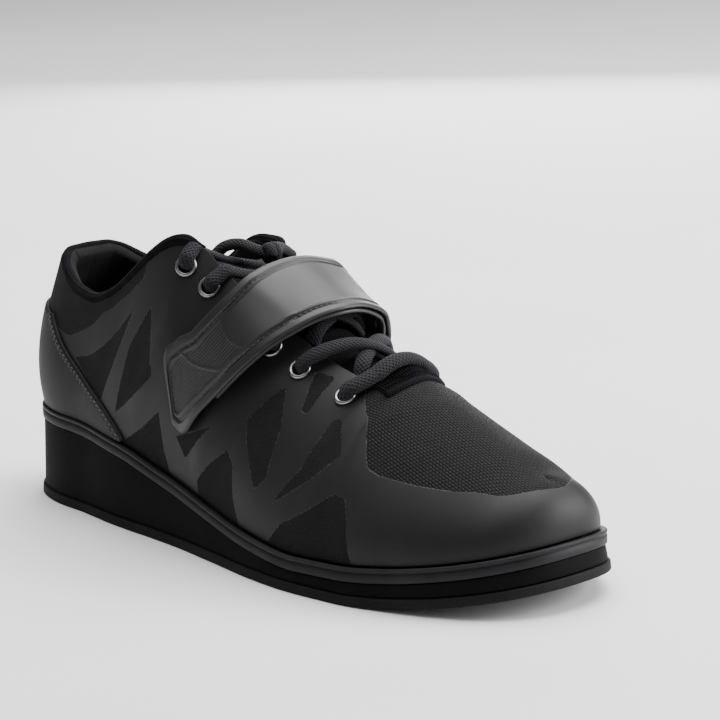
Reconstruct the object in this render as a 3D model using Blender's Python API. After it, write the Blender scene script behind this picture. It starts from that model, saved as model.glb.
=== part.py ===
"""A weightlifting shoe for the right foot, modelled as the pieces that a maker puts together.

Metres, +X to the toe, +Y to the medial side, +Z up. The functions below measure from
the back of the heel, on the floor. Every piece hangs on an empty that moves it back by
HEEL_REST, so that the part's origin is on the flat underside of the heel.
"""

import math

import bmesh
import bpy
import numpy as np
from mathutils import Matrix, Vector

# Driving sizes
SOLE_LENGTH = 0.300
BALL_WIDTH = 0.107        # outsole, at the ball of the foot
HEEL_STACK = 0.039        # floor to the top of the rand, at the heel
BALL_STACK = 0.0138       # the same at the ball
TOE_STACK_EXTRA = 0.0022  # the sole thickens a little towards the toe
TOE_SPRING = 0.0100       # how far the toe's underside stands off the floor
UPPER_RISE = 0.0950       # rand to the top of the eyestay
HEEL_REST = 0.0180        # back of the heel to the part's origin

# Sole
OUTSOLE_THICKNESS = 0.0038
OUTSOLE_BEVEL = 0.0008
RAND_HEIGHT = 0.0056
MIDSOLE_INSET = 0.0012
MIDSOLE_DRAFT = 0.0009
RAND_INSET = 0.0014
RAND_LEDGE = 0.0026       # the rand's top, in front of the upper
LAYER_GAP = 0.0003        # between pieces that are glued on the real shoe
HEEL_END = 0.042          # length of the round heel end in plan
TOE_END = 0.075           # length of the round toe end in plan
TREAD_DEPTH = 0.0012
TREAD_WIDTH = 0.0030
TREAD_PITCH = 0.0130

# Upper
WALL = 0.0022
COLLAR_PAD = 0.0070       # whole thickness of the collar's rim
OVERLAY = 0.0012
INSOLE_THICKNESS = 0.0042
INSOLE_GAP = 0.0008
TONGUE_THICKNESS = 0.0058
TONGUE_GAP = 0.0005
TONGUE_HALF = 0.0300      # from its middle to its edge, along the surface

# Strap, ring and tab
STRAP_THICKNESS = 0.0016
STRAP_LIFT = 0.0078       # strap's lower layer over the laces
RING_RADIUS = 0.0014
RING_GAP = 0.0007
RING_BAR_PITCH = 0.0095   # strap's bar to the tab's bar
RING_OVERHANG = 0.0028    # ring past each edge of the strap

# Eyelets and laces
EYELET_INSET = 0.0106     # from the throat's edge, along the surface
EYELET_OUTER = 0.0046
EYELET_HOLE = 0.0027
EYELET_BARREL = 0.0034
EYELET_FLANGE = 0.0008
EYELET_GAP = 0.0003
LACE_WIDTH = 0.0060
LACE_DEPTH = 0.0024
BAR_WIDTH = 0.0072
BAR_DEPTH = 0.0042
BAR_BULGE = 0.026         # how far the first bar bows to the toe, as a share of SOLE_LENGTH
CROSS_INNER = 0.60        # where a crossing dives under, as a share of the throat's half-width
PAD_CREST = 0.0015        # the eyestay's padded edge at the top, over its surface
CROSS_SHORT = 0.015       # and how far behind the lower eyelet, as a share of SOLE_LENGTH

# Mesh steps
RING_STEPS = 44           # from heel to toe, on each side
OUTER_ROWS = 11
INNER_ROWS = 7
BAND_COLUMNS = 5


def table(columns, rows):
    """A table of named columns. The first is the place along the sole, from 0 at the heel to 1 at the toe."""
    return dict(zip(columns.split(), np.array(rows, float).T))


# Plan of the outsole: half-widths each side of the centre line, and the centre line, as shares of BALL_WIDTH
PLAN = table("along lateral medial centre", [
    (0.000, 0.315, 0.320, 0.000),
    (0.080, 0.312, 0.325, 0.000),
    (0.167, 0.328, 0.335, 0.000),
    (0.267, 0.372, 0.340, 0.000),
    (0.400, 0.408, 0.325, 0.000),
    (0.500, 0.455, 0.334, 0.000),
    (0.600, 0.506, 0.380, 0.000),
    (0.683, 0.528, 0.432, 0.005),
    (0.750, 0.526, 0.450, 0.014),
    (0.833, 0.495, 0.436, 0.023),
    (0.900, 0.474, 0.413, 0.030),
    (1.000, 0.450, 0.370, 0.038),
])

# How much of the heel's lift is left
DROP = table("along drop", [
    (0.00, 1.000), (0.14, 0.985), (0.27, 0.840), (0.37, 0.585),
    (0.47, 0.325), (0.57, 0.115), (0.68, 0.000), (1.00, 0.000),
])

# The upper's top line and the bow of its wall below it. top_along is a share of SOLE_LENGTH, top_side
# and bulge of BALL_WIDTH, top_rise of UPPER_RISE; low, spread and drop are shares of the wall's own reach
UPPER = table("along top_along top_side top_rise bulge low spread drop pad", [
    (0.000, 0.0620, 0.000, 0.684, 0.052, 0.33, 0.86, 0.36, 1.00),
    (0.020, 0.0650, 0.097, 0.679, 0.050, 0.33, 0.86, 0.36, 1.00),
    (0.050, 0.0780, 0.160, 0.658, 0.046, 0.33, 0.86, 0.36, 1.00),
    (0.100, 0.1120, 0.222, 0.600, 0.044, 0.34, 0.86, 0.35, 1.00),
    (0.150, 0.1530, 0.260, 0.548, 0.042, 0.35, 0.85, 0.34, 1.00),
    (0.193, 0.1930, 0.280, 0.539, 0.042, 0.36, 0.82, 0.32, 1.00),
    (0.233, 0.2330, 0.287, 0.590, 0.040, 0.38, 0.78, 0.30, 1.00),
    (0.277, 0.2770, 0.286, 0.700, 0.038, 0.40, 0.74, 0.28, 0.90),
    (0.323, 0.3220, 0.277, 0.845, 0.037, 0.42, 0.68, 0.25, 0.75),
    (0.367, 0.3580, 0.262, 0.946, 0.037, 0.44, 0.60, 0.22, 0.50),
    (0.393, 0.3820, 0.240, 0.980, 0.037, 0.45, 0.55, 0.19, 0.30),
    (0.413, 0.4060, 0.208, 0.962, 0.037, 0.45, 0.50, 0.18, 0.15),
    (0.437, 0.4340, 0.190, 0.898, 0.037, 0.45, 0.47, 0.18, 0.05),
    (0.480, 0.4800, 0.173, 0.834, 0.036, 0.45, 0.45, 0.18, 0.00),
    (0.553, 0.5530, 0.148, 0.746, 0.030, 0.44, 0.43, 0.18, 0.00),
    (0.627, 0.6270, 0.136, 0.672, 0.025, 0.43, 0.42, 0.17, 0.00),
    (0.690, 0.6900, 0.108, 0.634, 0.022, 0.43, 0.42, 0.11, 0.00),
    (0.712, 0.7120, 0.060, 0.634, 0.021, 0.43, 0.42, 0.05, 0.00),
    (0.724, 0.7240, 0.000, 0.636, 0.020, 0.43, 0.42, 0.00, 0.00),
    (0.760, 0.7600, 0.000, 0.592, 0.019, 0.43, 0.40, 0.00, 0.00),
    (0.810, 0.8100, 0.000, 0.514, 0.018, 0.43, 0.38, 0.00, 0.00),
    (0.857, 0.8560, 0.000, 0.434, 0.017, 0.44, 0.38, 0.00, 0.00),
    (0.900, 0.8940, 0.000, 0.360, 0.016, 0.46, 0.42, 0.00, 0.00),
    (0.940, 0.9200, 0.000, 0.278, 0.014, 0.50, 0.50, 0.00, 0.00),
    (1.000, 0.9380, 0.000, 0.205, 0.012, 0.56, 0.58, 0.00, 0.00),
])
THROAT_END = 0.724
TOP_CENTRE = 0.014        # the throat's middle line, towards the medial side, as a share of BALL_WIDTH
# Crest over the throat, as a share of the throat's width: the tongue sinks between the eyestays at the top
BRIDGE = table("along rise", [(0.380, -0.120), (0.430, -0.040), (0.500, 0.130), (0.600, 0.170), (1.000, 0.150)])

# Strap: reach is the distance from the crest along the surface, as a share of BALL_WIDTH and
# negative on the lateral side; rear and front are the strap's edges, as shares of SOLE_LENGTH
STRAP = table("reach rear front", [
    (-0.885, 0.4100, 0.4130),
    (-0.870, 0.4080, 0.4210),
    (-0.800, 0.4010, 0.4410),
    (-0.700, 0.3940, 0.4630),
    (-0.655, 0.3965, 0.4730),
    (-0.590, 0.4080, 0.4890),
    (-0.400, 0.4430, 0.5290),
    (-0.250, 0.4660, 0.5560),
    (-0.120, 0.4770, 0.5780),
    (0.000, 0.4820, 0.5900),
    (0.120, 0.4800, 0.5860),
    (0.270, 0.4660, 0.5640),
    (0.400, 0.4490, 0.5400),
])
STRAP_RETURN = -0.56      # where the strap's lower layer is sewn down
# Tab: reach is 0 at the strap's end and 1 at the upper's lower edge
TAB = table("reach rear front", [
    (0.00, 0.4490, 0.5400),
    (0.11, 0.4380, 0.5300),
    (0.30, 0.4120, 0.5080),
    (0.60, 0.3720, 0.4780),
    (0.95, 0.3280, 0.4460),
])
TAB_RETURN = 0.34
TAB_FOLD = 0.42           # length of the raised part by the ring
EYELETS = (0.6680, 0.5880, 0.5360, 0.4830, 0.4290, 0.3990)
COUNTER_FRONT = ((0.015, 0.272), (0.350, 0.180), (0.690, 0.078))  # share of the wall's height, place along


STRAP_END = STRAP["reach"][-1] * BALL_WIDTH


def turn(along):
    """Stations are spaced as the cosine of an angle, so the round ends get more of them."""
    return np.arccos(1 - 2 * np.clip(along, 0, 1))


def eased(x_nodes, y_nodes, x):
    """A cubic through the nodes that doesn't overshoot them."""
    step = np.diff(x_nodes)
    slope = np.diff(y_nodes) / step
    tangent = np.concatenate([slope[:1], np.zeros(len(slope) - 1), slope[-1:]])
    before, after = slope[:-1], slope[1:]
    same = before * after > 0
    first, second = 2 * step[1:] + step[:-1], step[1:] + 2 * step[:-1]
    safe_before, safe_after = np.where(same, before, 1), np.where(same, after, 1)
    mean = (first + second) / (first / safe_before + second / safe_after)
    tangent[1:-1] = np.where(same, mean, 0)
    x = np.asarray(x, float)
    i = np.clip(np.searchsorted(x_nodes, x) - 1, 0, len(step) - 1)
    t = (np.clip(x, x_nodes[0], x_nodes[-1]) - x_nodes[i]) / step[i]
    return (
        y_nodes[i] * (1 + 2 * t) * (1 - t) ** 2
        + step[i] * tangent[i] * t * (1 - t) ** 2
        + y_nodes[i + 1] * t * t * (3 - 2 * t)
        + step[i] * tangent[i + 1] * t * t * (t - 1)
    )


def smooth_step(x):
    x = np.clip(x, 0, 1)
    return x * x * (3 - 2 * x)


def column(rows, name, along):
    return eased(turn(rows["along"]), rows[name], turn(along))


def reached(rows, name, reach):
    """A strap's or tab's edge at a distance from the crest."""
    if rows is TAB:
        return eased(rows["reach"], rows[name], (reach - STRAP_END) / (sole_reach() - STRAP_END))
    return eased(rows["reach"] * BALL_WIDTH, rows[name], reach)


def floor_height(along):
    """Underside of the sole: flat to the ball, then up to the toe."""
    lift = np.clip((np.asarray(along, float) - 0.75) / 0.25, 0, 1)
    return TOE_SPRING * lift**1.8


def rand_top(along):
    lift = np.clip((np.asarray(along, float) - 0.68) / 0.32, 0, 1)
    stack = BALL_STACK + (HEEL_STACK - BALL_STACK) * column(DROP, "drop", along)
    return floor_height(along) + stack + TOE_STACK_EXTRA * lift


def unit(vectors):
    return vectors / np.maximum(np.linalg.norm(vectors, axis=-1, keepdims=True), 1e-12)


def plan_edge(phi):
    """The outsole's outline at the angle phi: 0 is the heel, half a turn the toe, and the lateral side comes first."""
    along = (1 - np.cos(phi)) / 2
    side = np.where(np.sin(phi) >= 0, -1.0, 1.0)
    half = np.where(side < 0, column(PLAN, "lateral", along), column(PLAN, "medial", along))
    heel = np.clip(1 - along * SOLE_LENGTH / HEEL_END, 0, 1)
    toe = np.clip(1 - (1 - along) * SOLE_LENGTH / TOE_END, 0, 1)
    round_off = np.sqrt(1 - heel**2) * (1 - toe**2.5) ** 0.4
    y = BALL_WIDTH * (column(PLAN, "centre", along) + side * half * round_off)
    return np.stack([along * SOLE_LENGTH, y], axis=-1)


def outward(phi):
    step = 1e-3
    run = plan_edge(phi + step) - plan_edge(phi - step)
    return unit(np.stack([run[..., 1], -run[..., 0]], axis=-1))


def outline(phi, inset):
    return plan_edge(phi) - outward(phi) * inset


def skin(phi, v):
    """The upper's outer surface: v runs from the feather line (0) to the collar, throat or ridge (1)."""
    phi, v = np.broadcast_arrays(np.asarray(phi, float), np.asarray(v, float))
    along = (1 - np.cos(phi)) / 2
    side = np.where(np.sin(phi) >= 0, -1.0, 1.0)
    base = rand_top(along)
    foot = outline(phi, RAND_INSET + RAND_LEDGE)
    centre = TOP_CENTRE * np.clip(along / 0.4, 0, 1) + np.clip(along - 0.75, 0, 1) * 0.08
    top = np.stack([
        column(UPPER, "top_along", along) * SOLE_LENGTH,
        BALL_WIDTH * (centre + side * column(UPPER, "top_side", along)),
    ], axis=-1)
    rise = UPPER_RISE * column(UPPER, "top_rise", along)
    low = foot + outward(phi) * (BALL_WIDTH * column(UPPER, "bulge", along))[..., None]
    high = top + (foot - top) * column(UPPER, "spread", along)[..., None]
    weights = ((1 - v) ** 3, 3 * v * (1 - v) ** 2, 3 * v * v * (1 - v), v**3)
    xy = sum(w[..., None] * p for w, p in zip(weights, (foot, low, high, top)))
    z = base + LAYER_GAP + rise * (
        weights[1] * column(UPPER, "low", along)
        + weights[2] * (1 - column(UPPER, "drop", along))
        + weights[3]
    )
    return np.concatenate([xy, z[..., None]], axis=-1)


def skin_normal(phi, v):
    step = 1e-3
    v = np.asarray(v, float)
    run = skin(phi + step, v) - skin(phi - step, v)
    up = skin(phi, np.minimum(v + step, 1)) - skin(phi, np.maximum(v - step, 0))
    return unit(np.cross(run, up))


def shell(phi, v, lift):
    return skin(phi, v) + skin_normal(phi, v) * np.asarray(lift)[..., None]


def wall(phi, v):
    """The upper's thickness: the collar is padded, and the rest is one sheet."""
    along = (1 - np.cos(phi)) / 2
    grow = smooth_step((v - 0.45) / 0.35)
    return WALL + (COLLAR_PAD - WALL) * column(UPPER, "pad", along) * grow


def section(along, reach):
    """The shoe's cross-section over upper and throat, by distance from its crest."""
    v = np.linspace(0, 1, 50)
    phi = float(turn(along))
    lateral, medial = skin(np.full(50, phi), v), skin(np.full(50, -phi), v)[::-1]
    t = np.linspace(0, 1, 21)[1:-1, None]
    span = medial[0] - lateral[-1]
    bridge = lateral[-1] + span * t
    bridge[:, 2] += 4 * float(column(BRIDGE, "rise", along)) * abs(span[1]) * (t * (1 - t))[:, 0]
    line = np.vstack([lateral, bridge, medial])
    walked = np.concatenate([[0], np.cumsum(np.linalg.norm(np.diff(line, axis=0), axis=1))])
    middle = (walked[59] + walked[60] + walked[58]) / 3
    return np.stack([np.interp(reach, walked - middle, line[:, i]) for i in range(3)], axis=-1)


def sole_reach():
    """Distance from the crest to the upper's lower edge on the medial side, at the tab."""
    along = (TAB["rear"][-1] + TAB["front"][-1]) / 2
    span = np.linspace(0, 2 * BALL_WIDTH, 400)
    line = section(along, span)
    return float(np.linalg.norm(np.diff(line, axis=0), axis=1).sum())


def over(along, reach, lift):
    """A point at a height over that cross-section, with its outward direction."""
    step = 0.004
    ahead = section(along + step, reach) - section(along - step, reach)
    across = section(along, reach + 2 * step * BALL_WIDTH) - section(along, reach - 2 * step * BALL_WIDTH)
    out = unit(np.cross(ahead, across))
    return section(along, reach) + out * lift, out


def throat_edge(along):
    """Distance from the crest to the throat's lateral edge."""
    phi = float(turn(along))
    edges = skin(np.array([phi, -phi]), np.ones(2))
    span = abs(edges[1, 1] - edges[0, 1])
    return span / 2 * (1 + 2.7 * float(column(BRIDGE, "rise", along)) ** 2)


def finish(name, colour, roughness, metallic=0.0):
    material = bpy.data.materials.new(name)
    material.use_nodes = True
    shader = material.node_tree.nodes["Principled BSDF"]
    shader.inputs["Base Color"].default_value = (*colour, 1)
    shader.inputs["Roughness"].default_value = roughness
    shader.inputs["Metallic"].default_value = metallic
    material.diffuse_color = (*colour, 1)
    return material


def linked(name, body, material):
    """A bmesh made an object of the shoe, with its faces outwards."""
    bmesh.ops.recalc_face_normals(body, faces=body.faces)
    if body.calc_volume(signed=True) < 0:
        bmesh.ops.reverse_faces(body, faces=body.faces)
    mesh = bpy.data.meshes.new(name)
    body.to_mesh(mesh)
    body.free()
    mesh.materials.append(material)
    made = bpy.data.objects.new(name, mesh)
    shoe.objects.link(made)
    made.parent = heel_rest
    return made


def new_object(name, points, faces, material):
    mesh = bpy.data.meshes.new(name)
    mesh.from_pydata([tuple(p) for p in points], [], faces)
    body = bmesh.new()
    body.from_mesh(mesh)
    bpy.data.meshes.remove(mesh)
    bmesh.ops.remove_doubles(body, verts=body.verts, dist=1e-6)
    return linked(name, body, material)


def ring_angles():
    return np.arange(2 * RING_STEPS) * math.pi / RING_STEPS


def layer(name, rings, material):
    """A solid through closed rings of the sole's plan, each an inset and a height function."""
    phi = ring_angles()
    along = (1 - np.cos(phi)) / 2
    count = len(phi)
    points = np.vstack([
        np.concatenate([outline(phi, inset), height(along)[:, None]], axis=1) for inset, height in rings
    ])
    faces = []
    for r in range(len(rings) - 1):
        for k in range(count):
            after = (k + 1) % count
            faces.append((r * count + k, r * count + after, (r + 1) * count + after, (r + 1) * count + k))
    for start in (0, (len(rings) - 1) * count):
        for k in range(RING_STEPS):
            corners = [k, k + 1, (count - k - 1) % count, (count - k) % count]
            faces.append(tuple(start + c for c in dict.fromkeys(corners)))
    return new_object(name, points, faces, material)


def grid_shell(name, outer, inner, material, closed=False):
    """A solid between two grids of points, rows by columns."""
    rows, columns = outer.shape[:2]
    points = np.vstack([outer.reshape(-1, 3), inner.reshape(-1, 3)])
    shift = rows * columns
    faces = []
    for r in range(rows - 1):
        for c in range(columns - 1):
            a, b, d, e = r * columns + c, r * columns + c + 1, (r + 1) * columns + c + 1, (r + 1) * columns + c
            faces += [(a, b, d, e), (a + shift, e + shift, d + shift, b + shift)]
    edge = [r * columns for r in range(rows)]
    edge += [(rows - 1) * columns + c for c in range(1, columns)]
    edge += [r * columns + columns - 1 for r in range(rows - 2, -1, -1)]
    edge += list(range(columns - 2, 0, -1))
    for a, b in zip(edge, edge[1:] + edge[:1]):
        faces.append((a, b, b + shift, a + shift))
    return new_object(name, points, faces, material)


def tube(name, route, width, depth, lifts, material, sides=6):
    """A lace-like oval tube; lifts are the directions across its flat faces."""
    route, lifts = np.array(route, float), np.array(lifts, float)
    ahead = unit(np.gradient(route, axis=0))
    across = unit(np.cross(ahead, lifts))
    lifts = np.cross(across, ahead)
    angle = np.arange(sides) * 2 * math.pi / sides
    rows = [
        route + across * width / 2 * math.cos(t) + lifts * depth / 2 * math.sin(t) for t in angle
    ]
    points = np.stack(rows, axis=1).reshape(-1, 3)
    faces = []
    for r in range(len(route) - 1):
        for k in range(sides):
            after = (k + 1) % sides
            faces.append((r * sides + k, r * sides + after, (r + 1) * sides + after, (r + 1) * sides + k))
    last = (len(route) - 1) * sides
    faces += [tuple(range(sides))[::-1], tuple(last + k for k in range(sides))]
    return new_object(name, points, faces, material)


def joined(name, pieces):
    """Overlapping solids made one."""
    first = pieces[0]
    for other in pieces[1:]:
        union = first.modifiers.new("join", "BOOLEAN")
        union.operation = "UNION"
        union.solver = "EXACT"
        union.object = other
        depsgraph = bpy.context.evaluated_depsgraph_get()
        mesh = bpy.data.meshes.new_from_object(first.evaluated_get(depsgraph))
        first.modifiers.clear()
        first.data = mesh
        bpy.data.objects.remove(other, do_unlink=True)
    first.name = name
    return first


def cut(body, cutter):
    cutters.objects.link(cutter)
    shoe.objects.unlink(cutter)
    cutter.hide_render = True
    cutter.display_type = "WIRE"
    carve = body.modifiers.new("cut", "BOOLEAN")
    carve.operation = "DIFFERENCE"
    carve.solver = "EXACT"
    carve.object = cutter


def combined(name, pieces, material):
    """Separate closed meshes in one object, for a cutter."""
    body = bmesh.new()
    for piece in pieces:
        body.from_mesh(piece.data)
        bpy.data.objects.remove(piece, do_unlink=True)
    return linked(name, body, material)


# %% Sole


def make_sole():
    outsole_top = lambda along: floor_height(along) + OUTSOLE_THICKNESS
    midsole_base = lambda along: outsole_top(along) + LAYER_GAP
    rand_base = lambda along: rand_top(along) - RAND_HEIGHT
    outsole = layer("outsole", [
        (OUTSOLE_BEVEL, floor_height),
        (0, lambda along: floor_height(along) + OUTSOLE_BEVEL),
        (OUTSOLE_BEVEL / 2, outsole_top),
    ], rubber)
    cut(outsole, tread_cutter())
    layer("midsole", [
        (MIDSOLE_INSET, midsole_base),
        (MIDSOLE_INSET + MIDSOLE_DRAFT, lambda along: rand_base(along) - LAYER_GAP),
    ], foam)
    layer("rand", [
        (RAND_INSET + 0.0004, rand_base),
        (RAND_INSET, lambda along: rand_base(along) + 0.0006),
        (RAND_INSET, lambda along: rand_top(along) - 0.0006),
        (RAND_INSET + 0.0006, rand_top),
    ], rand_rubber)
    inset = RAND_INSET + RAND_LEDGE + WALL + INSOLE_GAP
    seat = lambda along: rand_top(along) + LAYER_GAP
    layer("insole", [
        (inset, seat),
        (inset, lambda along: seat(along) + INSOLE_THICKNESS * 0.7),
        (inset + 0.0014, lambda along: seat(along) + INSOLE_THICKNESS),
    ], insole_foam)


def tread_cutter():
    """Cross grooves under the heel and the ball, which stop short of the sole's edge."""
    grooves = []
    for first, last in ((0.085, 0.300), (0.520, 0.760)):
        count = round((last - first) * SOLE_LENGTH / TREAD_PITCH)
        for i in range(count + 1):
            along = first + (last - first) * i / count
            phi = float(turn(along))
            sides = plan_edge(np.array([phi, -phi]))[:, 1]
            middle, width = sides.mean(), (sides[1] - sides[0]) * 0.74
            body = bmesh.new()
            size = Matrix.Diagonal((TREAD_WIDTH, width, TREAD_DEPTH * 2, 1))
            bmesh.ops.create_cube(body, size=1, matrix=Matrix.Translation((along * SOLE_LENGTH, middle, 0)) @ size)
            grooves.append(linked("groove", body, rubber))
    return combined("tread_cutter", grooves, rubber)


# %% Upper


def make_upper():
    """One hollow solid, open at the collar, along the throat and underneath."""
    phi = ring_angles()
    count = len(phi)
    along = (1 - np.cos(phi)) / 2
    shut = int(np.argmax(along[: RING_STEPS + 1] >= THROAT_END - 1e-9))
    phi[shut], phi[count - shut] = float(turn(THROAT_END)), -float(turn(THROAT_END))
    v_out, v_in = np.linspace(0, 1, OUTER_ROWS), np.linspace(1, 0, INNER_ROWS)
    angle_out, rows_out = np.meshgrid(phi, v_out)
    angle_in, rows_in = np.meshgrid(phi, v_in)
    outer = skin(angle_out, rows_out)
    inner = shell(angle_in, rows_in, -wall(angle_in, rows_in))
    inner[-1, :, 2] = outer[0, :, 2]
    for k in range(shut, RING_STEPS):
        inner[0, k] = inner[0, count - k] = (inner[0, k] + inner[0, count - k]) / 2
    rim = (outer[-1] + inner[0]) / 2
    rim[:, 2] += 0.38 * np.linalg.norm(outer[-1] - inner[0], axis=1) * (column(UPPER, "pad", along) > 0.01)
    stacked = np.vstack([outer, rim[None], inner])
    faces = []
    for r in range(len(stacked) - 1):
        for k in range(count):
            if r in (OUTER_ROWS - 1, OUTER_ROWS) and shut <= k < count - shut:
                continue
            after = (k + 1) % count
            faces.append((r * count + k, r * count + after, (r + 1) * count + after, (r + 1) * count + k))
    last = (len(stacked) - 1) * count
    for k in range(count):
        after = (k + 1) % count
        faces.append((k, after, last + after, last + k))
    upper = new_object("upper", stacked.reshape(-1, 3), faces, mesh_cloth)
    holes = []
    for along_at in EYELETS:
        for side in (-1, 1):
            place, out = eyelet_place(along_at, side)
            holes.append(lathe("hole", [
                (0, -0.006), (EYELET_BARREL + EYELET_GAP, -0.006), (EYELET_BARREL + EYELET_GAP, 0.004), (0, 0.004),
            ], place, out, satin_film))
    cut(upper, combined("eyelet_cutter", holes, satin_film))
    return upper


def make_counter():
    """The heel counter: a moulded cup glued over the back of the upper."""
    heights, fronts = np.array(COUNTER_FRONT).T
    v = np.linspace(heights[0], heights[-1], 8)
    front = np.array([float(turn(a)) for a in np.interp(v, heights, fronts)])
    spread = np.linspace(1, -1, 27)
    phi = front[:, None] * spread[None]
    rows = np.repeat(v[:, None], len(spread), axis=1)
    grid_shell(
        "heel_counter",
        shell(phi, rows, np.full(phi.shape, LAYER_GAP + OVERLAY)),
        shell(phi, rows, np.full(phi.shape, LAYER_GAP)),
        satin_film,
    )


def make_tongue():
    places = np.linspace(0.402, 0.712, 15)
    reach = np.linspace(-1, 1, 13) * TONGUE_HALF
    outer, inner = [], []
    for along in places:
        tucked = np.clip((along - 0.44) / 0.06, 0, 1)
        inside = (throat_edge(along) - 0.0045) / TONGUE_HALF
        narrow = (0.74 + 0.26 * min(1.0, (0.712 - along) / 0.10)) * tucked + inside * (1 - tucked)
        under = float(wall(turn(along), np.float64(1.0))) + TONGUE_GAP
        depth = -under - 0.0018 * max(0.0, (along - 0.66) / 0.052)
        top, _ = over(along, reach * narrow, depth)
        slim = 1 - 0.65 * (np.abs(reach) / TONGUE_HALF) ** 4
        slim = slim * (0.45 + 0.55 * min(1.0, (0.712 - along) / 0.12))
        _, out = over(along, reach * narrow, 0)
        outer.append(top)
        inner.append(top - out * (TONGUE_THICKNESS * slim)[:, None])
    rise = unit(outer[0] - outer[2])
    for share in (0.92, 0.78, 0.45):
        middle = ((outer[0] + inner[0]) / 2).mean(axis=0)
        outer.insert(0, middle + (outer[0] - middle) * [1, share, 1] + rise * 0.0028)
        inner.insert(0, middle + (inner[0] - middle) * [1, share, 1] + rise * 0.0028)
    grid_shell("tongue", np.array(outer), np.array(inner), padded_cloth)


# %% Strap, ring and tab


def band(name, rows, path, material):
    """A folded strap: path holds a reach and a lift, and the strap's edges come from the table."""
    path = np.array(path)
    run = np.gradient(path, axis=0)
    side = unit(np.stack([-run[:, 1], run[:, 0]], axis=1)) * STRAP_THICKNESS / 2
    loops = []
    for (reach, lift), (d_reach, d_lift) in zip(path, side):
        rear, front = reached(rows, "rear", reach), reached(rows, "front", reach)
        places = np.linspace(rear, front, BAND_COLUMNS)
        upper = [over(a, reach + d_reach, lift + d_lift)[0] for a in places]
        lower = [over(a, reach - d_reach, lift - d_lift)[0] for a in places]
        loops.append(upper + lower[::-1])
    loops = np.array(loops)
    size = loops.shape[1]
    faces = []
    for r in range(len(loops) - 1):
        for k in range(size):
            after = (k + 1) % size
            faces.append((r * size + k, r * size + after, (r + 1) * size + after, (r + 1) * size + k))
    last = (len(loops) - 1) * size
    for start in (0, last):
        faces += [(start + k, start + k + 1, start + size - k - 2, start + size - k - 1) for k in range(BAND_COLUMNS - 1)]
    return new_object(name, loops.reshape(-1, 3), faces, material)


def strap_lift(reach):
    """The strap's lower layer lies on the upper at its ends and rides over the laces between."""
    away = smooth_step((abs(reach) / BALL_WIDTH - 0.34) / 0.20)
    return STRAP_LIFT + (LAYER_GAP + STRAP_THICKNESS / 2 - STRAP_LIFT) * away + 0.0003


BEND = RING_RADIUS + RING_GAP + STRAP_THICKNESS / 2
LAYERS = STRAP_THICKNESS + 0.0004


def make_strap():
    first, fold, back = STRAP["reach"][0] * BALL_WIDTH, STRAP_END, STRAP_RETURN * BALL_WIDTH
    middle = strap_lift(fold) + BEND
    top = []
    for reach in np.concatenate([[first, first * 0.985], np.linspace(first * 0.95, fold, 17)]):
        near = smooth_step((reach / fold - 0.2) / 0.8)
        flat = strap_lift(reach) + LAYERS
        top.append((reach, flat + (middle + BEND - flat) * near))
    bend = [
        (fold + BEND * math.sin(t), middle + BEND * math.cos(t)) for t in np.linspace(0, math.pi, 8)[1:-1]
    ]
    under = [(reach, strap_lift(reach)) for reach in np.linspace(fold, back, 12)]
    band("strap", STRAP, top + bend + under, satin_film)


def bar_points(rows, reach, lift):
    rear, front = float(reached(rows, "rear", reach)), float(reached(rows, "front", reach))
    extra = RING_OVERHANG / SOLE_LENGTH
    places = [rear - extra, *np.linspace(rear, front, BAND_COLUMNS), front + extra]
    return [over(a, reach, lift)[0] for a in places]


def make_ring():
    """A wire ring between strap and tab; it tilts with the strap on the real shoe."""
    near = bar_points(STRAP, STRAP_END, strap_lift(STRAP_END) + BEND)
    far = bar_points(TAB, STRAP_END + RING_BAR_PITCH, TAB_LIFT + BEND)
    route = near + far[::-1]
    wire = bpy.data.curves.new("strap_ring", "CURVE")
    wire.dimensions = "3D"
    line = wire.splines.new("POLY")
    line.points.add(len(route) - 1)
    for point, place in zip(line.points, route):
        point.co = (*place, 1)
    line.use_cyclic_u = True
    wire.bevel_depth = RING_RADIUS
    wire.bevel_resolution = 2
    wire.materials.append(dark_metal)
    ring = bpy.data.objects.new("strap_ring", wire)
    shoe.objects.link(ring)
    ring.parent = heel_rest


TAB_LIFT = LAYER_GAP + STRAP_THICKNESS / 2 + 0.0003


def make_tab():
    """Its upper layer runs from the sole over the ring, and its lower layer ends under it."""
    start = STRAP_END + RING_BAR_PITCH
    down = sole_reach() - STRAP_END
    end, back = STRAP_END + TAB["reach"][-1] * down, STRAP_END + TAB_RETURN * down
    middle = TAB_LIFT + BEND
    top = []
    for reach in np.linspace(end, start, 12):
        near = smooth_step(1 - (reach - start) / (TAB_FOLD * down))
        layers = LAYERS * smooth_step((back + 0.006 - reach) / 0.006)
        top.append((reach, TAB_LIFT + layers + (BEND * 2 - layers) * near))
    bend = [
        (start - BEND * math.sin(t), middle + BEND * math.cos(t)) for t in np.linspace(0, math.pi, 8)[1:-1]
    ]
    under = [(reach, TAB_LIFT) for reach in np.linspace(start, back, 5)]
    band("ring_tab", TAB, top + bend + under, satin_film)


# %% Eyelets and laces


def eyelet_place(along, side):
    place, out = over(along, side * (throat_edge(along) + EYELET_INSET), 0)
    return place, out


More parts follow.
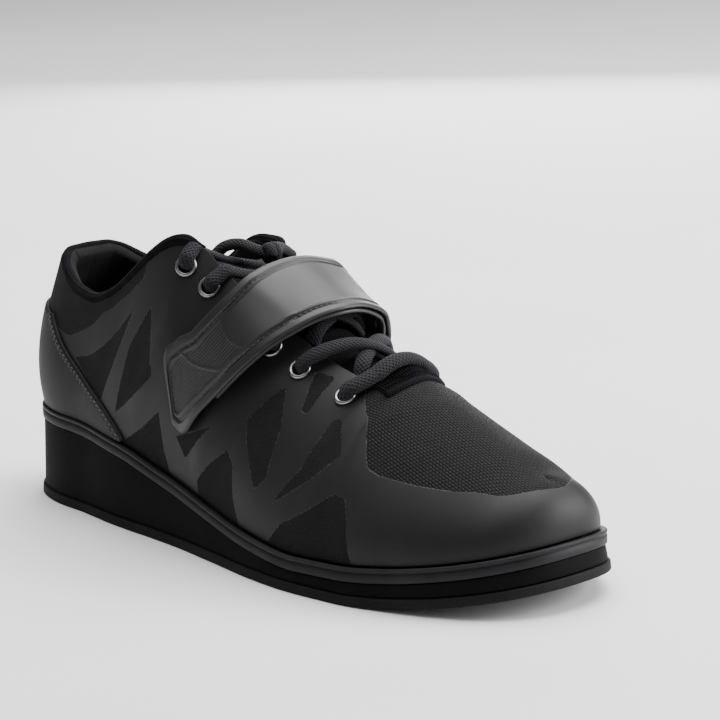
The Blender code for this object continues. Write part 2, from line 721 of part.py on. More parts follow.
def lathe(name, profile, place, axis, material, sides=12):
    """A turned solid: profile is radius and height, and goes round in a closed line."""
    turned = Vector(axis).to_track_quat("Z", "Y").to_matrix().to_4x4()
    body = bmesh.new()
    corners = [body.verts.new((radius, 0, height)) for radius, height in profile]
    edges = [body.edges.new((a, b)) for a, b in zip(corners, corners[1:] + corners[:1])]
    bmesh.ops.spin(
        body, geom=corners + edges, cent=(0, 0, 0), axis=(0, 0, 1), dvec=(0, 0, 0),
        angle=2 * math.pi, steps=sides, use_merge=True, use_duplicate=False,
    )
    bmesh.ops.remove_doubles(body, verts=body.verts, dist=1e-6)
    bmesh.ops.dissolve_degenerate(body, dist=1e-7, edges=body.edges)
    body.transform(Matrix.Translation(Vector(place)) @ turned)
    return linked(name, body, material)


def make_eyelets():
    rise = 2 * EYELET_GAP
    for i, along in enumerate(EYELETS):
        for side, word in ((-1, "lateral"), (1, "medial")):
            place, out = eyelet_place(along, side)
            lathe(f"eyelet_{word}_{i + 1}", [
                (EYELET_HOLE, -WALL - 0.0002),
                (EYELET_BARREL, -WALL - 0.0002),
                (EYELET_BARREL, rise),
                (EYELET_OUTER, rise),
                (EYELET_OUTER - 0.0003, rise + EYELET_FLANGE),
                (EYELET_HOLE + 0.0004, rise + EYELET_FLANGE),
            ], place, out, dark_metal)


def lace_run(name, places, width=LACE_WIDTH, depth=LACE_DEPTH):
    """A run over the throat, through places that hold a place along, a reach and a lift."""
    route, flats = zip(*[over(along, reach, lift) for along, reach, lift in places])
    return tube(name, route, width, depth, flats, lace_cloth)


def over_eyelet(depth):
    """A lace's lift where it leaves an eyelet."""
    return depth / 2 + EYELET_FLANGE + 4 * EYELET_GAP


def make_laces():
    first = EYELETS[0]
    edge = throat_edge(first) + EYELET_INSET
    lift, crest = over_eyelet(BAR_DEPTH), BAR_DEPTH / 2 + 0.0016
    bulge = np.sin(np.linspace(0, math.pi, 7)) * BAR_BULGE
    places = zip(first + bulge, np.linspace(-edge, edge, 7), [lift, crest, crest, crest, crest, crest, lift])
    lace_run("lace_bar", places, BAR_WIDTH, BAR_DEPTH)
    for i in range(5):
        low, high = EYELETS[i], EYELETS[i + 1]
        reach_low = throat_edge(low) * CROSS_INNER
        reach_high = throat_edge(high) + EYELET_INSET
        lift = over_eyelet(LACE_DEPTH)
        over_pad = PAD_CREST * smooth_step((0.50 - high) / 0.07)
        lifts = [lift, lift + 0.0002 + over_pad, 0.0035, 0.0023, 0.0014, 0.0008]
        runs = []
        for side in (-1, 1):
            along = np.linspace(high, low - CROSS_SHORT, len(lifts))
            reach = np.linspace(side * reach_high, -side * reach_low, len(lifts))
            runs.append(lace_run("run", zip(along, reach, lifts)))
        joined(f"lace_crossing_{i + 1}", runs)


# The bow over the top eyelets: metres from the knot, chosen by hand
BOW_KNOT = (0.441, 0.002, 0.0102)   # place along, reach and lift
BOW = {
    "loop_lateral": [
        (0, 0, 0), (-0.006, -0.003, 0.003), (-0.012, -0.006, 0.005), (-0.017, -0.009, 0.004), (-0.020, -0.010, 0.002),
    ],
    "loop_medial": [
        (0, 0, 0), (-0.004, 0.005, 0.003), (-0.008, 0.010, 0.004), (-0.010, 0.015, 0.003), (-0.009, 0.019, 0.001),
    ],
}


def make_bow():
    knot = np.array(over(*BOW_KNOT)[0])
    pieces = [lathe("knot", [(0, -0.0046), (0.0042, -0.0034), (0.0062, 0), (0.0042, 0.0034), (0, 0.0046)], knot, (0.6, 0.0, 0.8), lace_cloth, 12)]
    for name, offsets in BOW.items():
        route = knot + np.array(offsets)
        pieces.append(tube(name, route, 0.0050, 0.0034, np.tile([0.6, 0.0, 0.8], (len(route), 1)), lace_cloth))
    joined("lace_bow", pieces)


# %% Assembly


for old in list(bpy.data.objects):
    bpy.data.objects.remove(old, do_unlink=True)
shoe = bpy.data.collections.new("weightlifting_shoe")
cutters = bpy.data.collections.new("cutters")
bpy.context.scene.collection.children.link(shoe)
bpy.context.scene.collection.children.link(cutters)
heel_rest = bpy.data.objects.new("heel_rest", None)
heel_rest.location.x = -HEEL_REST
shoe.objects.link(heel_rest)
bpy.context.view_layer.update()

rubber = finish("outsole_rubber", (0.020, 0.020, 0.022), 0.75)
foam = finish("midsole_foam", (0.012, 0.012, 0.013), 0.55)
rand_rubber = finish("rand_rubber", (0.045, 0.045, 0.048), 0.45)
insole_foam = finish("insole_cloth", (0.015, 0.015, 0.017), 0.95)
mesh_cloth = finish("mesh_cloth", (0.018, 0.018, 0.020), 0.90)
satin_film = finish("satin_film", (0.035, 0.034, 0.036), 0.40)
padded_cloth = finish("padded_cloth", (0.014, 0.014, 0.017), 0.95)
lace_cloth = finish("lace_cloth", (0.014, 0.014, 0.018), 0.90)
dark_metal = finish("dark_metal", (0.10, 0.10, 0.105), 0.30, 1.0)

make_sole()
make_upper()
make_counter()
make_tongue()
make_strap()
make_ring()
make_tab()
make_eyelets()
make_laces()
make_bow()
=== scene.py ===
# %% [markdown]
# # A weightlifting shoe, dressed
#
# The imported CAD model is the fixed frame: it says where every piece of the shoe is and how
# big it is. This lesson gives each piece its fine surface and its material. Nearly every
# shape is a function of two parameters, worked out with numpy as a whole array, because a
# shoe has no boxes and cylinders in it, and a function can be changed by changing one size.

# %% The frame and the lesson's modules
import math

import bpy
import numpy as np
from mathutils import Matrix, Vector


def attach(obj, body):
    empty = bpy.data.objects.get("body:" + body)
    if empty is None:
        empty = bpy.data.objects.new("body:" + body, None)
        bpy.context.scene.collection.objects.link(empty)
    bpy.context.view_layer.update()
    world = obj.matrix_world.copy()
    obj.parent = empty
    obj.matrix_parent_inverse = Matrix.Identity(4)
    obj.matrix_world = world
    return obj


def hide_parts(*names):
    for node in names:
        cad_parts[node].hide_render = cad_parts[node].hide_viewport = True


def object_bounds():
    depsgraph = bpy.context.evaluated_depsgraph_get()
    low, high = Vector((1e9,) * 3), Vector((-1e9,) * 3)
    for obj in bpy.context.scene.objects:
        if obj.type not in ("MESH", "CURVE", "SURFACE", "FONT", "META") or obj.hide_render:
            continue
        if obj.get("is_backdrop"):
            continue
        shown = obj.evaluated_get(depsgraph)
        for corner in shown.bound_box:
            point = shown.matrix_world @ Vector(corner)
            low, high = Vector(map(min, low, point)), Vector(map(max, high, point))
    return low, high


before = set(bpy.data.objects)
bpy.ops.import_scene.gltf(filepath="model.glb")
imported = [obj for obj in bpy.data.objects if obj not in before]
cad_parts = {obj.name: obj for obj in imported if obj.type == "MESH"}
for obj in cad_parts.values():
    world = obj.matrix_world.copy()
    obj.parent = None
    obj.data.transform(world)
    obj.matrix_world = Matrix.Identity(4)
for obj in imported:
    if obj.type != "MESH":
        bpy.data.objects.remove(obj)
cad_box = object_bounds()
print("nodes in the frame:", len(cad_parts))

# %% [markdown]
# ## Sizes
#
# A last, the form that a shoe is built on, is described by a few driving sizes and by
# sections along the foot. The tables hold shares of those sizes, a row for each section.
# Lengths here are metres from the back of the heel, and the shoe is moved back by
# `HEEL_REST` when a mesh is made, so that it meets the frame.

# %% Driving sizes
SOLE_LENGTH, BALL_WIDTH = 0.300, 0.107
HEEL_STACK, BALL_STACK = 0.039, 0.0138
TOE_STACK_EXTRA, TOE_SPRING = 0.0022, 0.0100
UPPER_RISE = 0.0950
HEEL_REST = 0.0180
OUTSOLE_THICKNESS, OUTSOLE_BEVEL = 0.0038, 0.0008
RAND_HEIGHT, RAND_INSET, RAND_LEDGE = 0.0056, 0.0014, 0.0026
MIDSOLE_INSET, MIDSOLE_DRAFT = 0.0012, 0.0009
LAYER_GAP = 0.0003
HEEL_END, TOE_END = 0.042, 0.075
TREAD_DEPTH, TREAD_WIDTH, TREAD_PITCH = 0.0012, 0.0030, 0.0130
WALL, COLLAR_PAD, OVERLAY = 0.0022, 0.0070, 0.0012
TONGUE_THICKNESS, TONGUE_GAP, TONGUE_HALF = 0.0058, 0.0005, 0.0300
STRAP_THICKNESS, STRAP_LIFT = 0.0016, 0.0078
RING_RADIUS, RING_GAP, RING_BAR_PITCH, RING_OVERHANG = 0.0014, 0.0007, 0.0095, 0.0028
EYELET_INSET, EYELET_OUTER, EYELET_HOLE = 0.0106, 0.0046, 0.0027
EYELET_GAP = 0.0003
LACE_WIDTH, LACE_DEPTH = 0.0064, 0.0036
BAR_WIDTH, BAR_DEPTH = 0.0074, 0.0052
THROAT_END, TOP_CENTRE = 0.724, 0.014
MEDIAL_SINK = 0.0085      # the laces pull the medial eyestay's top this far down
EYELETS = (0.6680, 0.5880, 0.5360, 0.4830, 0.4290, 0.3990)


def table(columns, rows):
    """A table of named columns, as one array each."""
    return dict(zip(columns.split(), np.array(rows, float).T))


# %% Sections of the last
# Plan of the outsole: half-widths and centre line, as shares of BALL_WIDTH
PLAN = table("along lateral medial centre", [
    (0.000, 0.315, 0.320, 0.000),
    (0.080, 0.312, 0.325, 0.000),
    (0.167, 0.328, 0.335, 0.000),
    (0.267, 0.372, 0.340, 0.000),
    (0.400, 0.408, 0.325, 0.000),
    (0.500, 0.455, 0.334, 0.000),
    (0.600, 0.506, 0.380, 0.000),
    (0.683, 0.528, 0.432, 0.005),
    (0.750, 0.526, 0.450, 0.014),
    (0.833, 0.495, 0.436, 0.023),
    (0.900, 0.474, 0.413, 0.030),
    (1.000, 0.450, 0.370, 0.038),
])
# How much of the heel's lift is left
DROP = table("along drop", [
    (0.00, 1.000), (0.14, 0.985), (0.27, 0.840), (0.37, 0.585),
    (0.47, 0.325), (0.57, 0.115), (0.68, 0.000), (1.00, 0.000),
])
# The upper's top line and the bow of its wall, as shares of the driving sizes
UPPER = table("along top_along top_side top_rise bulge low spread drop pad", [
    (0.000, 0.0620, 0.000, 0.684, 0.052, 0.33, 0.86, 0.36, 1.00),
    (0.020, 0.0650, 0.097, 0.679, 0.050, 0.33, 0.86, 0.36, 1.00),
    (0.050, 0.0780, 0.160, 0.658, 0.046, 0.33, 0.86, 0.36, 1.00),
    (0.100, 0.1120, 0.222, 0.600, 0.044, 0.34, 0.86, 0.35, 1.00),
    (0.150, 0.1530, 0.260, 0.548, 0.042, 0.35, 0.85, 0.34, 1.00),
    (0.193, 0.1930, 0.280, 0.539, 0.042, 0.36, 0.82, 0.32, 1.00),
    (0.233, 0.2330, 0.287, 0.590, 0.040, 0.38, 0.78, 0.30, 1.00),
    (0.277, 0.2770, 0.286, 0.700, 0.038, 0.40, 0.74, 0.28, 0.90),
    (0.323, 0.3220, 0.277, 0.845, 0.037, 0.42, 0.68, 0.25, 0.75),
    (0.367, 0.3580, 0.262, 0.946, 0.037, 0.44, 0.60, 0.22, 0.50),
    (0.393, 0.3820, 0.240, 0.980, 0.037, 0.45, 0.55, 0.19, 0.30),
    (0.413, 0.4060, 0.208, 0.962, 0.037, 0.45, 0.50, 0.18, 0.15),
    (0.437, 0.4340, 0.190, 0.898, 0.037, 0.45, 0.47, 0.18, 0.05),
    (0.480, 0.4800, 0.173, 0.834, 0.036, 0.45, 0.45, 0.18, 0.00),
    (0.553, 0.5530, 0.148, 0.746, 0.030, 0.44, 0.43, 0.18, 0.00),
    (0.627, 0.6270, 0.136, 0.672, 0.025, 0.43, 0.42, 0.17, 0.00),
    (0.690, 0.6900, 0.108, 0.634, 0.022, 0.43, 0.42, 0.11, 0.00),
    (0.712, 0.7120, 0.060, 0.634, 0.021, 0.43, 0.42, 0.05, 0.00),
    (0.724, 0.7240, 0.000, 0.636, 0.020, 0.43, 0.42, 0.00, 0.00),
    (0.760, 0.7600, 0.000, 0.592, 0.019, 0.43, 0.40, 0.00, 0.00),
    (0.810, 0.8100, 0.000, 0.514, 0.018, 0.43, 0.38, 0.00, 0.00),
    (0.857, 0.8560, 0.000, 0.434, 0.017, 0.44, 0.38, 0.00, 0.00),
    (0.900, 0.8940, 0.000, 0.360, 0.016, 0.46, 0.42, 0.00, 0.00),
    (0.940, 0.9200, 0.000, 0.278, 0.014, 0.50, 0.50, 0.00, 0.00),
    (1.000, 0.9380, 0.000, 0.205, 0.012, 0.56, 0.58, 0.00, 0.00),
])
# Crest over the throat, as a share of the throat's width
BRIDGE = table("along rise", [
    (0.380, -0.120), (0.430, -0.040), (0.500, 0.130), (0.600, 0.170), (1.000, 0.150),
])
# Strap: reach is the distance from the crest, as a share of BALL_WIDTH, negative on the lateral side
STRAP = table("reach rear front", [
    (-0.885, 0.4100, 0.4130),
    (-0.870, 0.4080, 0.4210),
    (-0.800, 0.4010, 0.4410),
    (-0.700, 0.3940, 0.4630),
    (-0.655, 0.3965, 0.4730),
    (-0.590, 0.4080, 0.4890),
    (-0.400, 0.4430, 0.5290),
    (-0.250, 0.4660, 0.5560),
    (-0.120, 0.4770, 0.5780),
    (0.000, 0.4820, 0.5900),
    (0.120, 0.4800, 0.5860),
    (0.270, 0.4660, 0.5640),
    (0.400, 0.4490, 0.5400),
])
# Tab: reach is 0 at the strap's end and 1 at the upper's lower edge
TAB = table("reach rear front", [
    (0.00, 0.4490, 0.5400),
    (0.11, 0.4380, 0.5300),
    (0.30, 0.4120, 0.5080),
    (0.60, 0.3720, 0.4780),
    (0.95, 0.3280, 0.4460),
])
STRAP_END = STRAP["reach"][-1] * BALL_WIDTH
STRAP_RETURN, TAB_RETURN, TAB_FOLD = -0.56, 0.34, 0.42


# %% [markdown]
# ## The last as functions
#
# `skin(phi, v)` is the upper's outer surface. `phi` goes once round the shoe, from the heel
# by the lateral side to the toe and back, and `v` climbs from the sole to the collar. Each
# section is a cubic curve from the feather line, where the upper meets the sole, to the top
# line. A spline surface could be drawn by hand instead, but then no other piece could ask
# where the surface is, and straps, laces and eyelets all need to.

# %% Curves through tables
def turn(along):
    """The angle whose cosine gives a place along the sole."""
    return np.arccos(1 - 2 * np.clip(along, 0, 1))


def between(start, end, start_slope, end_slope, t):
    """A Hermite cubic from start to end, with its slopes at both."""
    return (
        start * (1 + 2 * t) * (1 - t) ** 2 + start_slope * t * (1 - t) ** 2
        + end * t * t * (3 - 2 * t) + end_slope * t * t * (t - 1)
    )


def eased(x_nodes, y_nodes, x):
    """A cubic through the nodes that doesn't overshoot them."""
    step = np.diff(x_nodes)
    slope = np.diff(y_nodes) / step
    tangent = np.concatenate([slope[:1], np.zeros(len(slope) - 1), slope[-1:]])
    before, after = slope[:-1], slope[1:]
    same = before * after > 0
    first, second = 2 * step[1:] + step[:-1], step[1:] + 2 * step[:-1]
    safe_before, safe_after = np.where(same, before, 1), np.where(same, after, 1)
    mean = (first + second) / (first / safe_before + second / safe_after)
    tangent[1:-1] = np.where(same, mean, 0)
    x = np.asarray(x, float)
    i = np.clip(np.searchsorted(x_nodes, x) - 1, 0, len(step) - 1)
    t = (np.clip(x, x_nodes[0], x_nodes[-1]) - x_nodes[i]) / step[i]
    return between(y_nodes[i], y_nodes[i + 1], step[i] * tangent[i], step[i] * tangent[i + 1], t)


def smooth_step(x):
    """0 below 0, 1 above 1, and an S between."""
    x = np.clip(x, 0, 1)
    return x * x * (3 - 2 * x)


def column(rows, name, along):
    """A table's column at any place along; the cubic runs over angles, so the ends come out round."""
    return eased(turn(rows["along"]), rows[name], turn(along))


def unit(vectors):
    """The vectors, divided by their lengths."""
    return vectors / np.maximum(np.linalg.norm(vectors, axis=-1, keepdims=True), 1e-12)


def walked(points, axis=0):
    """Distance walked along one axis of a line or a grid of points, from 0."""
    step = np.linalg.norm(np.diff(points, axis=axis), axis=-1)
    shape = list(step.shape)
    shape[axis] = 1
    return np.concatenate([np.zeros(shape), np.cumsum(step, axis=axis)], axis=axis)


def resampled(at, distance, line):
    """The points of a line at given distances along it."""
    return np.stack([np.interp(at, distance, values) for values in line.T], axis=-1)


def quarter_round(share):
    """A quarter circle: 0 at an edge and 1 from one radius in, where share is counted in radii."""
    return np.sqrt(1 - (1 - np.clip(share, 0, 1)) ** 2)


def place_along(phi):
    """Share of the sole's length at an angle round it, the inverse of turn."""
    return (1 - np.cos(phi)) / 2


def side_of(phi):
    """-1 on the lateral side and 1 on the medial side."""
    return np.where(np.sin(phi) >= 0, -1.0, 1.0)


# %% Sole lines
def floor_height(along):
    """Underside of the sole: flat to the ball, then up to the toe as a power of the distance."""
    lift = np.clip((np.asarray(along, float) - 0.75) / 0.25, 0, 1)
    return TOE_SPRING * lift**1.8


def rand_top(along):
    """The line where upper and sole meet: the floor line, plus the stack that is left of the wedge."""
    lift = np.clip((np.asarray(along, float) - 0.68) / 0.32, 0, 1)
    stack = BALL_STACK + (HEEL_STACK - BALL_STACK) * column(DROP, "drop", along)
    return floor_height(along) + stack + TOE_STACK_EXTRA * lift


def plan_edge(phi):
    """The outsole's outline: half-widths from the table, rounded off at both ends like a rounded box."""
    along, side = place_along(phi), side_of(phi)
    half = np.where(side < 0, column(PLAN, "lateral", along), column(PLAN, "medial", along))
    heel = np.clip(1 - along * SOLE_LENGTH / HEEL_END, 0, 1)
    toe = np.clip(1 - (1 - along) * SOLE_LENGTH / TOE_END, 0, 1)
    round_off = np.sqrt(1 - heel**2) * (1 - toe**2.5) ** 0.4
    y = BALL_WIDTH * (column(PLAN, "centre", along) + side * half * round_off)
    return np.stack([along * SOLE_LENGTH, y], axis=-1)


def outward(phi):
    """The outline's outward direction: its run, turned a quarter."""
    step = 1e-3
    run = plan_edge(phi + step) - plan_edge(phi - step)
    return unit(np.stack([run[..., 1], -run[..., 0]], axis=-1))


def outline(phi, inset):
    """The outline, moved inwards by an inset."""
    return plan_edge(phi) - outward(phi) * np.asarray(inset)[..., None]


# %% The upper's surface
def skin(phi, v):
    """The upper's outer surface: a cubic Bezier in v from the feather line (0) to the top line (1)."""
    phi, v = np.broadcast_arrays(np.asarray(phi, float), np.asarray(v, float))
    along, side = place_along(phi), side_of(phi)
    base = rand_top(along)
    foot = outline(phi, np.full(phi.shape, RAND_INSET + RAND_LEDGE))
    centre = TOP_CENTRE * np.clip(along / 0.4, 0, 1) + np.clip(along - 0.75, 0, 1) * 0.08
    top = np.stack([
        column(UPPER, "top_along", along) * SOLE_LENGTH,
        BALL_WIDTH * (centre + side * column(UPPER, "top_side", along)),
    ], axis=-1)
    rise = UPPER_RISE * column(UPPER, "top_rise", along)
    rise = rise - MEDIAL_SINK * np.exp(-(((along - 0.385) / 0.055) ** 2)) * (side > 0)
    low = foot + outward(phi) * (BALL_WIDTH * column(UPPER, "bulge", along))[..., None]
    high = top + (foot - top) * column(UPPER, "spread", along)[..., None]
    weights = ((1 - v) ** 3, 3 * v * (1 - v) ** 2, 3 * v * v * (1 - v), v**3)
    xy = sum(w[..., None] * p for w, p in zip(weights, (foot, low, high, top)))
    z = base + LAYER_GAP + rise * (
        weights[1] * column(UPPER, "low", along)
        + weights[2] * (1 - column(UPPER, "drop", along))
        + weights[3]
    )
    return np.concatenate([xy, z[..., None]], axis=-1)


def skin_normal(phi, v):
    """The skin's outward direction: the cross product of its two runs."""
    step = 1e-3
    v = np.asarray(v, float)
    run = skin(phi + step, v) - skin(phi - step, v)
    up = skin(phi, np.minimum(v + step, 1)) - skin(phi, np.maximum(v - step, 0))
    return unit(np.cross(run, up))


def shell(phi, v, lift):
    """The skin, moved outwards by a height."""
    return skin(phi, v) + skin_normal(phi, v) * np.asarray(lift)[..., None]


def wall(phi, v):
    """The upper's thickness: the collar is padded, and the rest is one sheet."""
    along = place_along(phi)
    grow = smooth_step((v - 0.45) / 0.35)
    return WALL + (COLLAR_PAD - WALL) * column(UPPER, "pad", along) * grow


# %% Cross-sections over the throat
SECTION_PLACES = np.linspace(0.30, 0.78, 241)
WALL_POINTS, BRIDGE_POINTS = 50, 19
CREST_POINT = WALL_POINTS + BRIDGE_POINTS // 2


def section_line(along):
    """A whole cross-section, wall, bridge and wall, with the distance walked from its crest."""
    v = np.linspace(0, 1, WALL_POINTS)
    phi = turn(along)
    lateral, medial = skin(phi, v), skin(-phi, v)[::-1]
    t = np.linspace(0, 1, BRIDGE_POINTS + 2)[1:-1, None]
    span = medial[0] - lateral[-1]
    bridge = lateral[-1] + span * t
    bridge[:, 2] += 4 * float(column(BRIDGE, "rise", along)) * abs(span[1]) * (t * (1 - t))[:, 0]
    line = np.vstack([lateral, bridge, medial])
    distance = walked(line)
    return line, distance - distance[CREST_POINT - 1:CREST_POINT + 2].mean()


LINES = [section_line(along) for along in SECTION_PLACES]
REACHES = np.linspace(-1.35 * BALL_WIDTH, 1.35 * BALL_WIDTH, 721)
CHART = np.stack([resampled(REACHES, distance, line) for line, distance in LINES])
print("the chart over the instep holds", CHART.shape[0], "sections of", CHART.shape[1], "points")


def cell(values, at):
    """Which step of an even row of values holds each place, and how much of it is passed."""
    steps = np.clip((at - values[0]) / (values[1] - values[0]), 0, len(values) - 1.001)
    return steps.astype(int), (steps % 1)[..., None]


def section(along, reach):
    """Points over the instep by place along and distance from the crest, read off the chart."""
    along, reach = np.broadcast_arrays(np.asarray(along, float), np.asarray(reach, float))
    (i, u), (j, w) = cell(SECTION_PLACES, along), cell(REACHES, reach)
    return (
        CHART[i, j] * (1 - u) * (1 - w) + CHART[i + 1, j] * u * (1 - w)
        + CHART[i, j + 1] * (1 - u) * w + CHART[i + 1, j + 1] * u * w
    )


def over(along, reach, lift):
    """Points at a height over the instep, with their outward directions."""
    step = 0.004
    along, reach, lift = np.broadcast_arrays(*(np.asarray(x, float) for x in (along, reach, lift)))
    ahead = section(along + step, reach) - section(along - step, reach)
    across = section(along, reach + 2 * step * BALL_WIDTH) - section(along, reach - 2 * step * BALL_WIDTH)
    out = unit(np.cross(ahead, across))
    return section(along, reach) + out * lift[..., None], out


def throat_edge(along):
    """Distance from the crest to the throat's edge."""
    phi = float(turn(along))
    edges = skin(np.array([phi, -phi]), np.ones(2))
    span = abs(edges[1, 1] - edges[0, 1])
    return span / 2 * (1 + 2.7 * float(column(BRIDGE, "rise", along)) ** 2)


# %% [markdown]
# ## Making a mesh from arrays
#
# A grid of points is the plainest mesh there is: its faces are counted, not listed. One
# helper turns any grid into an object, closes it round where it should be, gives it a UV map
# in real metres, so that a weave keeps its size, and stores any extra number per point, such
# as the distance to a seam, as an attribute that a material can read.

# %% Mesh helpers
def grid_faces(rows, columns, round_rows=False, round_columns=False):
    """Corner numbers of every quad of a grid, as one array."""
    r = np.arange(rows if round_rows else rows - 1)
    c = np.arange(columns if round_columns else columns - 1)
    r, c = np.meshgrid(r, c, indexing="ij")
    r2, c2 = (r + 1) % rows, (c + 1) % columns
    corners = np.stack([r * columns + c, r * columns + c2, r2 * columns + c2, r2 * columns + c], axis=-1)
    return corners.reshape(-1, 4)


def face_outwards(mesh, points):
    """Turns all the faces over where the volume that they enclose comes out below zero."""
    mesh.calc_loop_triangles()
    corners = np.empty(3 * len(mesh.loop_triangles), np.int32)
    mesh.loop_triangles.foreach_get("vertices", corners)
    a, b, c = points[corners.reshape(-1, 3)].transpose(1, 0, 2)
    if np.sum(a * np.cross(b, c)) < 0:
        mesh.flip_normals()


def joined(faces, same):
    """Faces with each corner replaced by the point that it coincides with, and no corner twice."""
    faces = [list(dict.fromkeys(int(same[corner]) for corner in face)) for face in faces]
    return [face for face in faces if len(face) > 2]


def mesh_object(name, points, faces, material, uv=None, attributes=None, period=None):
    """An object from arrays of points and faces, moved into the frame.

    The period closes a UV map that goes round, so the quads come before any other face.
    """
    points = np.array(points, float).reshape(-1, 3)
    points[:, 0] -= HEEL_REST
    mesh = bpy.data.meshes.new(name)
    mesh.from_pydata(points, [], faces if isinstance(faces, list) else faces.tolist())
    face_outwards(mesh, points)
    mesh.materials.append(material)
    if uv is not None:
        layer = mesh.uv_layers.new(name="UVMap")
        corner = np.empty(len(mesh.loops), np.int32)
        mesh.loops.foreach_get("vertex_index", corner)
        spread = np.asarray(uv, np.float32).reshape(-1, 2)[corner]
        if period:
            quads = spread[: 4 * (len(spread) // 4), 0].reshape(-1, 4)
            quads += period * (quads < quads.max(axis=1, keepdims=True) - period / 2)
        layer.data.foreach_set("uv", spread.ravel())
    for key, values in (attributes or {}).items():
        data = mesh.attributes.new(key, "FLOAT", "POINT").data
        data.foreach_set("value", np.asarray(values, np.float32).ravel())
    mesh.shade_smooth()
    made = bpy.data.objects.new(name, mesh)
    bpy.context.scene.collection.objects.link(made)
    return made


def dress(piece, slot_name, *nodes):
    """The piece rides on the shoe's one body and stands for its CAD nodes."""
    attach(piece, "root")
    if nodes:
        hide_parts(*nodes)
    print(f"{piece.name}: {len(piece.data.polygons)} faces")
    return piece


LACE_ROUND = 0.016        # once round a lace, in its UV map


def tube(name, route, width, depth, flats, material, sides=20):
    """A lace: an oval carried along a smooth path, with its distance round and along as UV."""
    route = np.asarray(route, float)
    ahead = unit(np.gradient(route, axis=0))
    across = unit(np.cross(ahead, flats))
    flats = np.cross(across, ahead)
    angle = np.arange(sides) * 2 * math.pi / sides
    width, depth = np.broadcast_to(width, len(route)), np.broadcast_to(depth, len(route))
    ring = across[:, None] * (np.cos(angle)[None] * width[:, None] / 2)[..., None]
    ring = ring + flats[:, None] * (np.sin(angle)[None] * depth[:, None] / 2)[..., None]
    points = route[:, None] + ring
    length = walked(route[None], 1)[0]
    uv = np.stack(np.broadcast_arrays(angle[None] / (2 * math.pi) * LACE_ROUND, length[:, None]), axis=-1)
    faces = grid_faces(len(route), sides, round_columns=True).tolist()
    last = (len(route) - 1) * sides
    faces += [list(range(sides))[::-1], [last + k for k in range(sides)]]
    return mesh_object(name, points, faces, material, uv, period=LACE_ROUND)


def smooth_path(points, count):
    """A smooth path through a few chosen points, spaced evenly along it."""
    points = np.asarray(points, float)
    at = walked(points)
    fine = np.linspace(0, at[-1], 400)
    slope = np.gradient(points, at, axis=0)
    i = np.clip(np.searchsorted(at, fine) - 1, 0, len(at) - 2)
    step = (at[i + 1] - at[i])[:, None]
    passed = (fine - at[i])[:, None] / step
    line = between(points[i], points[i + 1], slope[i] * step, slope[i + 1] * step, passed)
    length = walked(line)
    return resampled(np.linspace(0, length[-1], count), length, line)


# %% [markdown]
# ## Materials
#
# Nothing here is a picture. Knit, braid and grain are small patterns worked out from the UV
# map or the object's own coordinates, so they keep their real size in millimetres. A pattern
# that several materials share is a node group, built once: it puts out a height or a mask,
# and each material feeds that to its own shader.

# %% Wiring nodes like arithmetic
class Wire:
    """A socket that can be added, multiplied and compared, each of which adds a Math node."""

    def __init__(self, tree, socket):
        self.tree, self.socket = tree, socket

    def math(self, operation, *others):
        node = self.tree.nodes.new("ShaderNodeMath")
        node.operation = operation
        for slot, value in zip(node.inputs, (self, *others)):
            put(self.tree, value, slot)
        return Wire(self.tree, node.outputs[0])

    def __add__(self, other):
        return self.math("ADD", other)

    def __sub__(self, other):
        return self.math("SUBTRACT", other)

    def __mul__(self, other):
        return self.math("MULTIPLY", other)

    def __truediv__(self, other):
        return self.math("DIVIDE", other)

    def step(self, low, high):
        """0 below low, 1 above high, and an S between."""
        node = self.tree.nodes.new("ShaderNodeMapRange")
        node.interpolation_type = "SMOOTHSTEP"
        put(self.tree, self, node.inputs["Value"])
        node.inputs["From Min"].default_value = low
        node.inputs["From Max"].default_value = high
        return Wire(self.tree, node.outputs["Result"])


def put(tree, value, socket):
    """Links a wire to a socket, or sets the socket's number."""
    if isinstance(value, Wire):
        tree.links.new(value.socket, socket)
    else:
        socket.default_value = value


def mixed(tree, mask, low, high):
    """A colour between two others."""
    node = tree.nodes.new("ShaderNodeMix")
    node.data_type = "RGBA"
    put(tree, mask, node.inputs["Factor"])
    for value, key in ((low, "A"), (high, "B")):
        socket = [s for s in node.inputs if s.name == key and s.type == "RGBA"][0]
        put(tree, (*value, 1) if isinstance(value, tuple) else value, socket)
    return Wire(tree, [s for s in node.outputs if s.type == "RGBA"][0])


def noise(tree, scale, detail=2.0, roughness=0.5):
    """Noise on the object's own coordinates; scale is in grains to the metre."""
    node = tree.nodes.new("ShaderNodeTexNoise")
    node.inputs["Scale"].default_value = scale
    node.inputs["Detail"].default_value = detail
    node.inputs["Roughness"].default_value = roughness
    tree.links.new(tree.nodes.new("ShaderNodeTexCoord").outputs["Object"], node.inputs["Vector"])
    return Wire(tree, node.outputs["Fac"])


def uv_wires(tree):
    """The piece's UV map as two lengths in metres."""
    node = tree.nodes.new("ShaderNodeUVMap")
    node.uv_map = "UVMap"
    split = tree.nodes.new("ShaderNodeSeparateXYZ")
    tree.links.new(node.outputs["UV"], split.inputs[0])
    return Wire(tree, split.outputs["X"]), Wire(tree, split.outputs["Y"])


def attribute(tree, name):
    """A number that is stored per point of the mesh."""
    node = tree.nodes.new("ShaderNodeAttribute")
    node.attribute_name = name
    return Wire(tree, node.outputs["Fac"])


